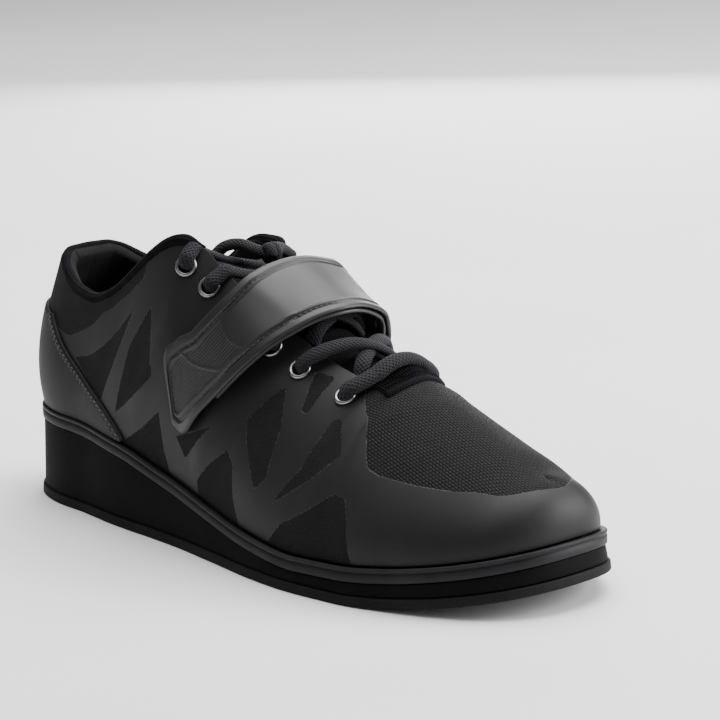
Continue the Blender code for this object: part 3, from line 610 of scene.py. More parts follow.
def new_group(name, inputs, outputs):
    """An empty node group, with its inputs and outputs as wires."""
    tree = bpy.data.node_groups.new(name, "ShaderNodeTree")
    for word in inputs:
        tree.interface.new_socket(name=word, in_out="INPUT", socket_type="NodeSocketFloat")
    for word in outputs:
        tree.interface.new_socket(name=word, in_out="OUTPUT", socket_type="NodeSocketFloat")
    start, end = tree.nodes.new("NodeGroupInput"), tree.nodes.new("NodeGroupOutput")
    return tree, {word: Wire(tree, start.outputs[word]) for word in inputs}, end


def use_group(tree, group, **values):
    """The group placed in a material; returns its outputs by name."""
    node = tree.nodes.new("ShaderNodeGroup")
    node.node_tree = group
    for key, value in values.items():
        put(tree, value, node.inputs[key])
    return {socket.name: Wire(tree, socket) for socket in node.outputs}


# %% [markdown]
# ### Knit, braid and grain
#
# A knit is rows of small loops, each row set half a loop along from its neighbour. A braid is
# two sets of diagonal strands, so its height is where either strand is high. Film and leather
# have a fine pebbled grain, which is only noise at two sizes.

# %% Pattern groups
def knit_group():
    """Height of a knit: round bumps, in rows that are set half a bump along from one another."""
    tree, wires, end = new_group("knit", ["Along", "Across", "Pitch", "Row"], ["Height"])
    row = wires["Across"] / wires["Row"]
    odd = row.math("FLOOR").math("MODULO", 2.0)
    x = (wires["Along"] / wires["Pitch"] + odd * 0.5).math("FRACT") - 0.5
    y = row.math("FRACT") - 0.5
    away = (x * x + y * y).math("SQRT")
    put(tree, (away.step(0.16, 0.50) * -1.0) + 1.0, end.inputs["Height"])
    return tree


def braid_group():
    """Height of a braid: the higher of two diagonal waves, each the other's mirror image."""
    tree, wires, end = new_group("braid", ["Along", "Around", "Pitch"], ["Height"])
    turn_size = 2 * math.pi
    one = ((wires["Along"] + wires["Around"]) / wires["Pitch"] * turn_size).math("SINE")
    two = ((wires["Along"] - wires["Around"]) / wires["Pitch"] * turn_size).math("SINE")
    put(tree, one.math("MAXIMUM", two), end.inputs["Height"])
    return tree


def grain_group():
    """Height of a pebbled film or leather: fine noise over a coarser one."""
    tree, wires, end = new_group("grain", ["Fine", "Coarse"], ["Height"])
    fine = noise(tree, 1900.0, 3.0, 0.6)
    coarse = noise(tree, 260.0, 2.0, 0.5)
    put(tree, fine * wires["Fine"] + coarse * wires["Coarse"], end.inputs["Height"])
    return tree


KNIT, BRAID, GRAIN = knit_group(), braid_group(), grain_group()
BRAID_PITCH = 0.0016


def knit(tree, pitch, row):
    """The knit's height, on the piece's UV map."""
    u, v = uv_wires(tree)
    return use_group(tree, KNIT, Along=u, Across=v, Pitch=pitch, Row=row)["Height"]


def braid(tree):
    """The braid's height, on the lace's UV map."""
    u, v = uv_wires(tree)
    return use_group(tree, BRAID, Along=v, Around=u, Pitch=BRAID_PITCH)["Height"]


def finish(name, colour, roughness, height=None, strength=0.0, depth=0.0, metallic=0.0, sheen=0.0, gloss=0.5):
    """A material; colour and roughness may be values or functions that wire them, as height is."""
    material = bpy.data.materials.new(name)
    material.use_nodes = True
    tree = material.node_tree
    shader = tree.nodes["Principled BSDF"]
    colour = colour(tree) if callable(colour) else (*colour, 1)
    put(tree, colour, shader.inputs["Base Color"])
    put(tree, roughness(tree) if callable(roughness) else roughness, shader.inputs["Roughness"])
    shader.inputs["Metallic"].default_value = metallic
    shader.inputs["Specular IOR Level"].default_value = gloss
    shader.inputs["Sheen Weight"].default_value = sheen
    shader.inputs["Sheen Roughness"].default_value = 0.5
    if height:
        bump = tree.nodes.new("ShaderNodeBump")
        bump.inputs["Strength"].default_value = strength
        bump.inputs["Distance"].default_value = depth
        put(tree, height(tree), bump.inputs["Height"])
        tree.links.new(bump.outputs["Normal"], shader.inputs["Normal"])
    return material


def mottled(low, high, scale=60.0):
    """A colour that drifts between two, as dye and moulding do."""
    return lambda tree: mixed(tree, noise(tree, scale).step(0.35, 0.65), low, high)


def uneven(low, high, scale=300.0):
    """A roughness that drifts between two."""
    return lambda tree: noise(tree, scale) * (high - low) + low


def grained(fine, coarse):
    """A pebbled grain with so much of each of its two sizes."""
    return lambda tree: use_group(tree, GRAIN, Fine=fine, Coarse=coarse)["Height"]


# %% [markdown]
# ### The upper's cloth and film
#
# The upper is one knitted cloth with a thin satin film pressed on. What looks like separate
# panels is the film's cut edge. Each point of the mesh stores its distance to that edge,
# `edge`, above zero in a window; the material draws the line where it passes zero. That keeps
# the edge sharp although the mesh's points are a millimetre apart.

# %% Material of the upper
FILM_DARK, FILM_LIGHT = (0.0085, 0.0080, 0.0083), (0.0115, 0.0110, 0.0114)
# cloth colours: the yarn's own dark, which also stands for painted shade between the loops, and a painted
# highlight on the loops' tops
CLOTH_DARK, CLOTH_LOOP_HIGHLIGHT = (0.0012, 0.0012, 0.0014), (0.0120, 0.0120, 0.0128)
# collar lining colours: the dark also stands for painted shade between the loops, the second is a painted
# highlight on their tops
COLLAR_DARK, COLLAR_LOOP_HIGHLIGHT = (0.0014, 0.0014, 0.0018), (0.0062, 0.0062, 0.0072)
# colour of the painted glint along the film's cut edge
PAINTED_EDGE_GLINT = (0.09, 0.09, 0.09)
VAMP_KNIT, SIDE_KNIT = (0.00165, 0.00115), (0.00095, 0.00080)      # pitch along, row across


def upper_parts(tree):
    """Masks and heights that the upper's colour, gloss and relief share."""
    edge = attribute(tree, "edge")
    fray = (noise(tree, 2600.0, 1.0) - 0.5) * 0.0005
    window = (edge + fray).step(-0.00008, 0.00008)
    vamp = attribute(tree, "vamp").step(0.4, 0.6)
    loops = knit(tree, *VAMP_KNIT) * vamp + knit(tree, *SIDE_KNIT) * (vamp * -1.0 + 1.0)
    return edge, window, vamp, loops


def upper_colour(tree):
    """Film, or cloth in the windows with a painted highlight on the knit's loops and painted shade between
    them, and a broken painted glint along the film's cut edge.
    """
    edge, window, vamp, loops = upper_parts(tree)
    speckle = noise(tree, 1500.0, 2.0).step(0.35, 0.70)
    # painted highlight on the knit's loops and painted shade between them, stronger on the vamp
    painted_loop_highlight = loops * (speckle * 0.7 + 0.3) * (vamp * 0.62 + 0.38)
    cloth = mixed(tree, painted_loop_highlight, CLOTH_DARK, CLOTH_LOOP_HIGHLIGHT)
    film = mixed(tree, noise(tree, 22.0).step(0.35, 0.65), FILM_DARK, FILM_LIGHT)
    both = mixed(tree, window, film, cloth)
    # a painted glint: a thin pale band along the film's cut edge, broken by noise
    line = edge.math("ABSOLUTE").step(0.00022, 0.00005)
    glint_dash = noise(tree, 1100.0, 1.0).step(0.52, 0.60)
    collar = attribute(tree, "collar").step(0.4, 0.6)
    both = mixed(tree, line * glint_dash * 0.55, both, PAINTED_EDGE_GLINT)
    # the collar's knit gets a painted highlight on its loops and painted shade between them
    return mixed(tree, collar, both, mixed(tree, loops, COLLAR_DARK, COLLAR_LOOP_HIGHLIGHT))


def upper_roughness(tree):
    """Satin on the film, and dull in the windows."""
    window = upper_parts(tree)[1]
    return window * 0.30 + 0.52 + (noise(tree, 140.0) - 0.5) * 0.08


def upper_height(tree):
    """The film stands over the cloth, with its own grain, and the knit shows in the windows."""
    edge, window, vamp, loops = upper_parts(tree)
    grain = use_group(tree, GRAIN, Fine=0.10, Coarse=0.10)["Height"]
    cloth = loops * (vamp * 0.5 + 0.5)
    film = edge.step(0.00015, -0.00015)
    return cloth * window + film * 1.1 + grain * film


mesh_cloth = finish("mesh_cloth", upper_colour, upper_roughness, upper_height, 0.75, 0.00042, gloss=0.20)
print("upper material nodes:", len(mesh_cloth.node_tree.nodes))


# %% Other materials
def ribbed(tree):
    """Fine ribs that follow the piece's length, with fuzz between them."""
    across = uv_wires(tree)[0]
    return (across / RIBBING * 2 * math.pi).math("SINE") * 0.5 + noise(tree, 1800.0) * 0.5


def braided_colour(tree):
    """Painted highlight on the strands and painted shade between them, broken up by fuzz."""
    fuzz = noise(tree, 3000.0, 2.0).step(0.30, 0.75)
    return mixed(tree, braid(tree).step(-0.2, 0.9) * (fuzz * 0.6 + 0.4), LACE_DARK, LACE_STRAND_HIGHLIGHT)


def braided_height(tree):
    """The braid with a little fuzz."""
    return braid(tree) + noise(tree, 3000.0, 2.0) * 0.4


def moulded(name, low, high, rough, grain, relief=(0.25, 0.0002), scale=60.0, drift=300.0, **more):
    """A moulded or filmed surface: colour and gloss that drift a little, and a pebbled grain."""
    return finish(name, mottled(low, high, scale), uneven(*rough, drift), grained(*grain), *relief, **more)


RIBBING, PADDED_KNIT = 0.0016, (0.0012, 0.0010)
# lace colours: the dark also stands for painted shade between the strands, the second is a painted highlight
# on them
LACE_DARK, LACE_STRAND_HIGHLIGHT = (0.0016, 0.0016, 0.0026), (0.0105, 0.0105, 0.0150)
# padded cloth colours: the dark also stands for painted shade between the loops, the second is a painted
# highlight on them
PADDED_DARK, PADDED_LOOP_HIGHLIGHT = (0.0016, 0.0016, 0.0021), (0.0060, 0.0060, 0.0072)
outsole_rubber = moulded(
    "outsole_rubber", (0.0060, 0.0060, 0.0066), (0.0080, 0.0080, 0.0087),
    rough=(0.66, 0.76), grain=(0.5, 0.1), relief=(0.35, 0.0002), gloss=0.12,
)
midsole_foam = moulded(
    "midsole_foam", (0.0020, 0.0020, 0.0023), (0.0028, 0.0028, 0.0031),
    rough=(0.68, 0.76), grain=(0.3, 0.1), gloss=0.07,
)
rand_rubber = moulded(
    "rand_rubber", (0.0090, 0.0090, 0.0102), (0.0120, 0.0120, 0.0135),
    rough=(0.50, 0.58), grain=(0.25, 0.15), gloss=0.16,
)
satin_film = moulded(
    "satin_film", (0.0085, 0.0081, 0.0085), (0.0110, 0.0106, 0.0110),
    rough=(0.54, 0.64), grain=(0.35, 0.30), scale=25.0, drift=160.0, gloss=0.16,
)
strap_film = moulded(
    "strap_film", (0.0105, 0.0102, 0.0108), (0.0140, 0.0136, 0.0143),
    rough=(0.36, 0.46), grain=(0.40, 0.30), relief=(0.28, 0.0002), scale=25.0, drift=160.0, gloss=0.32,
)
dark_metal = moulded(
    "dark_metal", (0.17, 0.17, 0.175), (0.24, 0.24, 0.245),
    rough=(0.24, 0.36), grain=(0.2, 0.2), relief=(0.1, 0.0001), scale=400.0, metallic=1.0,
)
thread = finish(
    "thread", mottled((0.030, 0.030, 0.031), (0.060, 0.060, 0.061), 900.0), 0.55,
    grained(1.0, 0.0), 0.5, 0.0001,
)
# the padded knit gets a painted highlight on its loops and painted shade between them
padded_cloth = finish(
    "padded_cloth", lambda tree: mixed(tree, knit(tree, *PADDED_KNIT), PADDED_DARK, PADDED_LOOP_HIGHLIGHT), 0.92,
    lambda tree: knit(tree, *PADDED_KNIT), 0.7, 0.0004, gloss=0.10,
)
lining_cloth = finish(
    "lining_cloth", mottled((0.0016, 0.0016, 0.0022), (0.0032, 0.0032, 0.0042), 200.0), 0.95,
    ribbed, 0.6, 0.0004, gloss=0.10,
)
insole_cloth = finish(
    "insole_cloth", mottled((0.006, 0.006, 0.007), (0.010, 0.010, 0.011), 500.0), 0.95,
    grained(1.0, 0.2), 0.5, 0.0003,
)
lace_cloth = finish("lace_cloth", braided_colour, 0.82, braided_height, 0.85, 0.00035, sheen=0.03, gloss=0.25)
print("materials:", [m.name for m in bpy.data.materials if m.use_nodes][-12:])


# %% [markdown]
# ## The sole
#
# The real sole is three mouldings glued together: a thin outsole, a hard wedge and a rubber
# band that hides the joint. Each is a stack of rings, and every ring is the outline moved in
# by an inset, at a height that changes along the foot.

# %% Rings of the sole
ROUND = np.arange(720) * math.pi / 360
ROUND_STEPS = 4
WEDGE_ROUND, BAND_ROUND, OUTSOLE_ROUND = 0.0004, 0.0006, 0.0006
OUTSOLE_LEAN = 0.0002


def sole_rings(profile, phi):
    """The outline at each of a profile's insets and height functions."""
    along = place_along(phi)
    return np.stack([
        np.concatenate([outline(phi, np.full(phi.shape, inset)), height(along)[:, None]], axis=1)
        for inset, height in profile
    ])


def sole_layer(name, profile, material):
    """A closed stack of rings; the profile holds an inset and a height function for each."""
    rings = sole_rings(profile, ROUND)
    count = rings.shape[1]
    faces = grid_faces(len(rings), count, round_columns=True).tolist()
    for start, turned in ((0, True), ((len(rings) - 1) * count, False)):
        k = np.arange(1, count // 2 - 1)
        cap = start + np.stack([k, k + 1, count - k - 1, count - k], axis=1)
        cap = cap[:, ::-1] if turned else cap
        toe = start + count // 2
        ends = [[start, start + 1, start + count - 1], [toe - 1, toe, toe + 1]]
        faces += cap.tolist() + [corners[::-1] if turned else corners for corners in ends]
    return mesh_object(name, rings, faces, material)


def rounded(inset, low, high, radius, lean=0.0):
    """A profile up a side wall with rounded edges: quarter circles at the bottom and the top."""
    def level(edge, rise):
        return lambda along: edge(along) + rise

    turns = np.linspace(0, math.pi / 2, ROUND_STEPS)
    ends = [(radius * (1 - math.sin(t)), radius * (1 - math.cos(t))) for t in turns]
    bottom = [(inset + off, level(low, rise)) for off, rise in ends]
    return bottom + [(inset + lean + off, level(high, -drop)) for drop, off in ends]


def outsole_top(along):
    return floor_height(along) + OUTSOLE_THICKNESS


def rand_base(along):
    return rand_top(along) - RAND_HEIGHT


# %% Wedge and band
def wedge_base(along):
    return outsole_top(along) + LAYER_GAP


def wedge_top(along):
    return rand_base(along) - LAYER_GAP


def below_lip(drop):
    """A height function: the band's top line less a drop."""
    return lambda along: rand_top(along) - drop


wedge_profile = rounded(MIDSOLE_INSET, wedge_base, wedge_top, WEDGE_ROUND, MIDSOLE_DRAFT)
dress(sole_layer("wedge", wedge_profile, midsole_foam), "midsole_foam", "midsole")

# The band has a narrow groove below its top lip, and its ledge dips towards the upper
GROOVE_DEPTH, GROOVE_DROP = 0.0007, 0.0017
# Rise over the groove's middle with the share of its depth, and the ledge's insets and drops
GROOVE = ((-0.0008, 0.0), (-0.0004, 0.7), (0.0, 1.0), (0.0003, 0.5), (0.0005, 0.0))
LEDGE = ((0.0016, 0.0), (RAND_LEDGE - 0.0002, 0.0005))
lips = rounded(RAND_INSET, rand_base, rand_top, BAND_ROUND)
groove = [(RAND_INSET + GROOVE_DEPTH * share, below_lip(GROOVE_DROP - rise)) for rise, share in GROOVE]
ledge = [(RAND_INSET + inset, below_lip(drop)) for inset, drop in LEDGE]
band_profile = lips[:ROUND_STEPS] + groove + lips[ROUND_STEPS:] + ledge
dress(sole_layer("foxing_band", band_profile, rand_rubber), "rand_rubber", "rand")

# %% [markdown]
# The outsole's underside is the one part of the sole with relief, cross grooves under the
# heel and the ball. Its bottom is a grid from side to side, so the grooves can be a height
# that is taken off a flat floor.

# %% Outsole with its tread
ACROSS = np.linspace(0, 1, 41)
TREAD_AREAS = ((0.085, 0.300), (0.520, 0.760))
TREAD_REACH, TREAD_FADE, SLOT_FADE = 0.37, 0.02, 0.0008


def tread(along, share):
    """Depth of the grooves: a row of soft-edged slots that stop short of the edge."""
    depth = np.zeros(np.broadcast(along, share).shape)
    middle = smooth_step((TREAD_REACH + TREAD_FADE / 2 - np.abs(share - 0.5)) / TREAD_FADE)
    for first, last in TREAD_AREAS:
        count = round((last - first) * SOLE_LENGTH / TREAD_PITCH)
        pitch = (last - first) / count
        slots = (along - first) / pitch
        off = np.abs(slots - np.clip(np.round(slots), 0, count)) * pitch * SOLE_LENGTH
        slot = smooth_step((TREAD_WIDTH / 2 + SLOT_FADE / 2 - off) / SLOT_FADE)
        depth = np.maximum(depth, TREAD_DEPTH * slot * middle)
    return depth


def make_outsole():
    """A grid from side to side underneath, rings up the side wall, and a flat top."""
    by_angle, by_length = place_along(np.linspace(0, math.pi, 181)), np.linspace(0.06, 0.80, 300)
    places = np.unique(np.concatenate([by_angle, by_length]))
    phi = turn(places)
    lateral = outline(phi, np.full(phi.shape, OUTSOLE_BEVEL))
    medial = outline(-phi, np.full(phi.shape, OUTSOLE_BEVEL))
    share = ACROSS[None, :, None]
    flat = lateral[:, None] * (1 - share) + medial[:, None] * share
    height = floor_height(places)[:, None] + tread(places[:, None], ACROSS[None])
    bottom = np.concatenate([flat, height[..., None]], axis=-1)
    profile = rounded(0.0, floor_height, outsole_top, OUTSOLE_ROUND, OUTSOLE_LEAN)[1:]
    rings = sole_rings(profile, np.concatenate([phi, -phi[-2:0:-1]]))
    n, m, count = len(places), len(ACROSS), rings.shape[1]
    grid = np.arange(n * m).reshape(n, m)
    rim = np.concatenate([grid[:, 0], grid[-2:0:-1, -1]])
    points = np.vstack([bottom.reshape(-1, 3), rings.reshape(-1, 3)])
    faces = grid_faces(n, m).tolist()
    first = n * m + np.arange(count)
    faces += np.stack([rim, np.roll(rim, -1), np.roll(first, -1), first], axis=1).tolist()
    faces += (grid_faces(len(rings), count, round_columns=True) + n * m).tolist()
    top = n * m + (len(rings) - 1) * count
    k = np.arange(1, n - 2)
    faces += (top + np.stack([k, k + 1, count - k - 1, count - k], axis=1)).tolist()
    faces += [[top, top + 1, top + count - 1], [top + n - 2, top + n - 1, top + n]]
    same = np.arange(len(points))
    same[grid[0]], same[grid[-1]] = grid[0, 0], grid[-1, 0]
    used, index = np.unique(same, return_inverse=True)
    return mesh_object("outsole_tread", points[used], joined(faces, index), outsole_rubber)


dress(make_outsole(), "outsole_rubber", "outsole")


# %% [markdown]
# ## Windows in the film
#
# The film leaves angular windows open, through which the darker cloth shows. Each window is a
# polygon on the skin, in places along and shares of the wall's height. For every point of the
# mesh the lesson needs the distance to the nearest window edge, in metres and with a sign, so
# the polygons are laid on the skin as lines and measured in space.

# %% Window polygons
# The last number says how many corners bound the window; the rest only close it round
WINDOWS = [
    ([(0.303, 0.738), (0.166, 0.512), (0.230, 0.220)], 4),
    ([(0.345, 0.682), (0.357, 0.350), (0.268, 0.165), (0.303, 0.527)], 5),
    ([(0.263, -0.02), (0.372, 0.215), (0.379, 0.075), (0.391, -0.02)], 5),
    ([(0.410, 0.155), (0.430, 0.105), (0.486, 0.312)], 4),
    ([(0.522, 0.280), (0.457, 0.062), (0.455, -0.02), (0.559, -0.02), (0.545, 0.100), (0.539, 0.242)], 7),
    ([(0.582, 0.715), (0.545, 0.453), (0.555, 0.383), (0.590, 0.208), (0.609, 0.292), (0.605, 0.532)], 7),
    ([(0.609, 0.880), (0.638, 0.915), (0.632, 0.657), (0.622, 0.655), (0.615, 0.768)], 6),
    ([(0.677, 0.693), (0.688, 0.677), (0.716, 0.475), (0.628, 0.195), (0.662, 0.400)], 6),
    ([(0.729, 0.300), (0.748, 0.295), (0.760, 0.203), (0.778, -0.02), (0.617, -0.02), (0.651, 0.133)], 7),
]
COLLAR_WINDOW = (
    [(-0.01, 0.690), (0.078, 0.690), (0.113, 0.650), (0.149, 0.662), (0.227, 0.890), (0.316, 0.883),
     (0.320, 1.06), (-0.01, 1.06)], 7
)
VAMP_WINDOW = (
    [(0.700, 1.04), (0.688, 0.905), (0.722, 0.640), (0.752, 0.480), (0.762, 0.450), (0.779, 0.443),
     (0.829, 0.462), (0.879, 0.500), (0.935, 0.595), (0.977, 0.668), (1.010, 0.700), (1.010, 1.04)], 11
)


def inside(x, y, corners):
    """True within a polygon, by counting the edges that a line to the right crosses."""
    found = np.zeros(x.shape, bool)
    for (x1, y1), (x2, y2) in zip(corners, corners[1:] + corners[:1]):
        if y1 == y2:
            continue
        crosses = (y1 > y) != (y2 > y)
        found ^= crosses & (x < (x2 - x1) * (y - y1) / (y2 - y1) + x1)
    return found


def window_distance(points, along, v, side, corners, bounds):
    """Distance in metres to a window's edge, above zero within it."""
    ring = (corners + corners[:1])[: bounds]
    line = np.vstack([np.linspace(a, b, 24, endpoint=False) for a, b in zip(ring, ring[1:])] + [[ring[-1]]])
    phi = turn(np.clip(line[:, 0], 0, 1)) * side
    laid = skin(phi, np.clip(line[:, 1], 0, 1))
    laid = laid + (np.clip(line[:, 1:], -1, 2) - np.clip(line[:, 1:], 0, 1)) * [0, 0, 0.07]
    nearest = np.full(len(points), 1.0)
    for a, b in zip(laid, laid[1:]):
        run = b - a
        t = np.clip((points - a) @ run / max(run @ run, 1e-12), 0, 1)
        nearest = np.minimum(nearest, np.linalg.norm(points - a - t[:, None] * run, axis=1))
    return np.where(inside(along, v, corners), nearest, -nearest)


# %% [markdown]
# ## The upper
#
# One surface goes up the outside of the shoe, over the padded collar and down inside it. The
# rows are denser where the collar rolls over. Creases are soft troughs and ridges that lean
# the way the cloth folds when the foot bends, worked out as a wave along the foot that fades
# at its ends.

# %% Grid of the upper
UP_ROWS, ROLL_ROWS, DOWN_ROWS, HALF_COLUMNS = 96, 9, 26, 300


# Place along, level on the wall, lean, height in metres, width along and reach up the wall
FOLDS = (
    (0.470, 0.25, 0.10, 0.0007, 0.016, 0.30),
    (0.530, 0.35, 0.14, -0.0006, 0.014, 0.30),
    (0.700, 0.55, 0.10, -0.0005, 0.014, 0.35),
    (0.745, 0.70, 0.12, 0.0004, 0.012, 0.30),
    (0.360, 0.45, 0.16, 0.0006, 0.018, 0.30),
    (0.250, 0.55, 0.12, -0.0005, 0.020, 0.30),
)


def creases(along, v, side):
    """Height of the soft folds: each is a leaning ridge with a bell-shaped section."""
    height = np.zeros(along.shape)
    for place, level, lean, size, width, reach in FOLDS:
        off = along - place - lean * (v - level)
        height += size * np.exp(-((off / width) ** 2) - ((v - level) / reach) ** 2)
    return height * np.where(side < 0, 1.0, 0.8)


def upper_grid():
    """Points of the upper, row by row, with each row's place v and whether it is outside or in."""
    phi = np.arange(2 * HALF_COLUMNS) * math.pi / HALF_COLUMNS
    along = place_along(phi)
    shut = int(np.argmax(along[: HALF_COLUMNS + 1] >= THROAT_END - 1e-9))
    phi[shut], phi[-shut] = float(turn(THROAT_END)), -float(turn(THROAT_END))
    along = place_along(phi)
    up = 1 - (1 - np.linspace(0, 1, UP_ROWS)) ** 1.15
    down = np.linspace(1, 0, DOWN_ROWS) ** 1.2
    angle, rows = np.meshgrid(phi, up)
    lift = creases(place_along(angle), rows, side_of(angle))
    lift = lift * smooth_step(rows / 0.15) * smooth_step((1 - rows) / 0.12)
    outer = shell(angle, rows, lift)
    angle_in, rows_in = np.meshgrid(phi, down)
    inner = shell(angle_in, rows_in, -wall(angle_in, rows_in))
    inner[-1, :, 2] = outer[0, :, 2]
    for k in range(shut, HALF_COLUMNS):
        inner[0, k] = inner[0, -k] = (inner[0, k] + inner[0, -k]) / 2
    across = inner[0] - outer[-1]
    up_by = np.zeros_like(across)
    up_by[:, 2] = 0.40 * np.linalg.norm(across, axis=1) * smooth_step(column(UPPER, "pad", along) / 0.3)
    angles = np.linspace(0, math.pi, ROLL_ROWS + 2)[1:-1, None, None]
    roll = outer[-1] + across * (1 - np.cos(angles)) / 2 + up_by * np.sin(angles)
    return phi, shut, up, np.vstack([outer, roll, inner])


def relaxed(points, faces, place, movable, reach=0.016, rounds=60):
    """Points near a place, moved towards the middle of their neighbours, to take out a pucker."""
    points = points.copy()
    weight = smooth_step((reach - np.linalg.norm(points - place, axis=1)) / (reach * 0.6)) * movable
    near = weight > 0
    ends = np.concatenate([faces[:, [0, 1]], faces[:, [1, 2]], faces[:, [2, 3]], faces[:, [3, 0]]])
    ends = ends[near[ends].any(axis=1)]
    count = np.zeros(len(points))
    np.add.at(count, ends.ravel(), 1)
    for _ in range(rounds):
        total = np.zeros_like(points)
        np.add.at(total, ends[:, 0], points[ends[:, 1]])
        np.add.at(total, ends[:, 1], points[ends[:, 0]])
        middle = total[near] / count[near, None]
        points[near] += (middle - points[near]) * weight[near, None] * 0.5
    return points


def make_upper():
    """The upper's grid, open at the throat, with its toe ridge joined and its window edges stored."""
    phi, shut, up, stacked = upper_grid()
    rows, count = stacked.shape[:2]
    faces = grid_faces(rows, count, round_columns=True)
    row, col = faces[:, 0] // count, faces[:, 0] % count
    rolled = (row >= UP_ROWS - 1) & (row < UP_ROWS + ROLL_ROWS)
    faces = faces[~(rolled & (col >= shut) & (col < count - shut))]
    feet = np.arange(count)
    last = (rows - 1) * count
    after = (feet + 1) % count
    faces = np.vstack([faces, np.stack([feet, last + feet, last + after, after], axis=1)])
    same = np.arange(rows * count)
    for ridge in (UP_ROWS - 1, UP_ROWS + ROLL_ROWS):
        for k in range(shut, HALF_COLUMNS):
            same[ridge * count + count - k] = ridge * count + k
    for ridge in range(UP_ROWS, UP_ROWS + ROLL_ROWS):
        same[ridge * count + count - shut] = ridge * count + shut
    used, index = np.unique(same[faces], return_inverse=True)
    faces = index.reshape(faces.shape)

    along = np.broadcast_to(place_along(phi), (rows, count))
    side = np.broadcast_to(side_of(phi), (rows, count))
    v = np.ones((rows, count)) * 1.03
    v[:UP_ROWS] = up[:, None]
    outside = np.arange(rows) < UP_ROWS + ROLL_ROWS // 2 + 1
    edge = np.full((rows, count), -0.02)
    vamp = np.zeros((rows, count))
    flat = stacked.reshape(-1, 3)
    for hand in (1, -1):
        mine = ((side.ravel() == -hand) & np.repeat(outside, count))
        shapes = [(c, n) for c, n in WINDOWS] + [COLLAR_WINDOW, VAMP_WINDOW]
        values = [
            window_distance(flat[mine], along.ravel()[mine], v.ravel()[mine], hand, corners, bounds)
            for corners, bounds in shapes
        ]
        edge.reshape(-1)[mine] = np.max(values, axis=0)
        vamp.reshape(-1)[mine] = values[-1] > -0.002
    collar = np.zeros((rows, count))
    collar[UP_ROWS:] = 1.0
    edge[UP_ROWS + ROLL_ROWS // 2 + 1:] = 0.02

    middle = skin(phi, np.full(phi.shape, 0.5))
    run = walked(middle)
    half = np.minimum(run, run[-1] - run)
    halfway = np.interp(0.5, along[0, :HALF_COLUMNS], half[:HALF_COLUMNS])
    u = np.where(along > 0.5, stacked[..., 0], half[None] - halfway + SOLE_LENGTH / 2)
    height = walked(stacked, 0)
    v_map = height - height[UP_ROWS - 1][None]
    ridge_line = stacked[UP_ROWS - 1, shut:HALF_COLUMNS]
    crest = np.interp(stacked[..., 0], ridge_line[:, 0], ridge_line[:, 2])
    aside = stacked[..., 1] - stacked[UP_ROWS - 1, HALF_COLUMNS, 1]
    fall = -np.hypot(aside, np.clip(crest - stacked[..., 2], 0, None))
    v_map = np.where((vamp > 0.5) & (np.arange(rows)[:, None] < UP_ROWS), fall, v_map)
    uv = np.stack([u, v_map], axis=-1)
    points = relaxed(flat[used], faces, stacked[UP_ROWS - 1, HALF_COLUMNS], used < UP_ROWS * count)
    stored = {"edge": edge, "vamp": vamp, "collar": collar}
    return mesh_object(
        "upper_cloth", points, faces, mesh_cloth, uv.reshape(-1, 2)[used],
        {word: values.ravel()[used] for word, values in stored.items()},
    )


dress(make_upper(), "mesh_cloth", "upper")


# %% [markdown]
# ## Heel counter
#
# A moulded cup of smooth film wraps the heel, with a corded seam along its slanting front. It
# is a patch of the skin, lifted, whose edges come down to the cloth in a quarter circle.

# %% Cup and seam
COUNTER_FRONT = ((0.015, 0.272), (0.350, 0.180), (0.690, 0.078))
COUNTER_ROUND = 0.0016
SEAM_WIDTH, SEAM_DEPTH, SEAM_AHEAD = 0.0046, 0.0022, 0.004
SEAM_STITCHES, SEAM_STITCH_LIFT = (-0.0005, 0.0075), 0.00145
HEEL_STITCH = {"pitch": 0.0026, "length": 0.0021, "radius": 0.00028}


def counter_front(v):
    """Place along of the counter's slanting front edge, at a height on the wall."""
    heights, fronts = np.array(COUNTER_FRONT).T
    return np.interp(v, heights, fronts)


def make_counter():
    """A patch of the skin round the heel, lifted, with a quarter circle along its edges."""
    v = np.linspace(0.004, 0.695, 90)
    share = np.sin(np.linspace(-math.pi / 2, math.pi / 2, 241))
    share = 0.5 * share + 0.5 * np.linspace(-1, 1, 241)
    phi = -turn(counter_front(v))[:, None] * share[None]
    rows = np.repeat(v[:, None], len(share), axis=1)
    front = turn(counter_front(v))[:, None] * (1 - np.abs(share))[None] * 0.11
    top = (v[-1] - rows) * UPPER_RISE * 0.72
    lift = LAYER_GAP + OVERLAY * quarter_round(np.minimum(front, top) / COUNTER_ROUND)
    outer, inner = shell(phi, rows, lift), shell(phi, rows, np.full(phi.shape, LAYER_GAP / 2))
    points = np.stack([outer, inner]).reshape(-1, 3)
    n, m = phi.shape
    faces = grid_faces(n, m)
    grid = np.arange(n * m).reshape(n, m)
    rim = np.concatenate([grid[0], grid[1:, -1], grid[-1, -2::-1], grid[-2:0:-1, 0]])
    skirt = np.stack([rim, rim + n * m, np.roll(rim, -1) + n * m, np.roll(rim, -1)], axis=1)
    faces = np.vstack([faces, faces[:, ::-1] + n * m, skirt])
    return mesh_object("heel_cup", points, faces, satin_film)


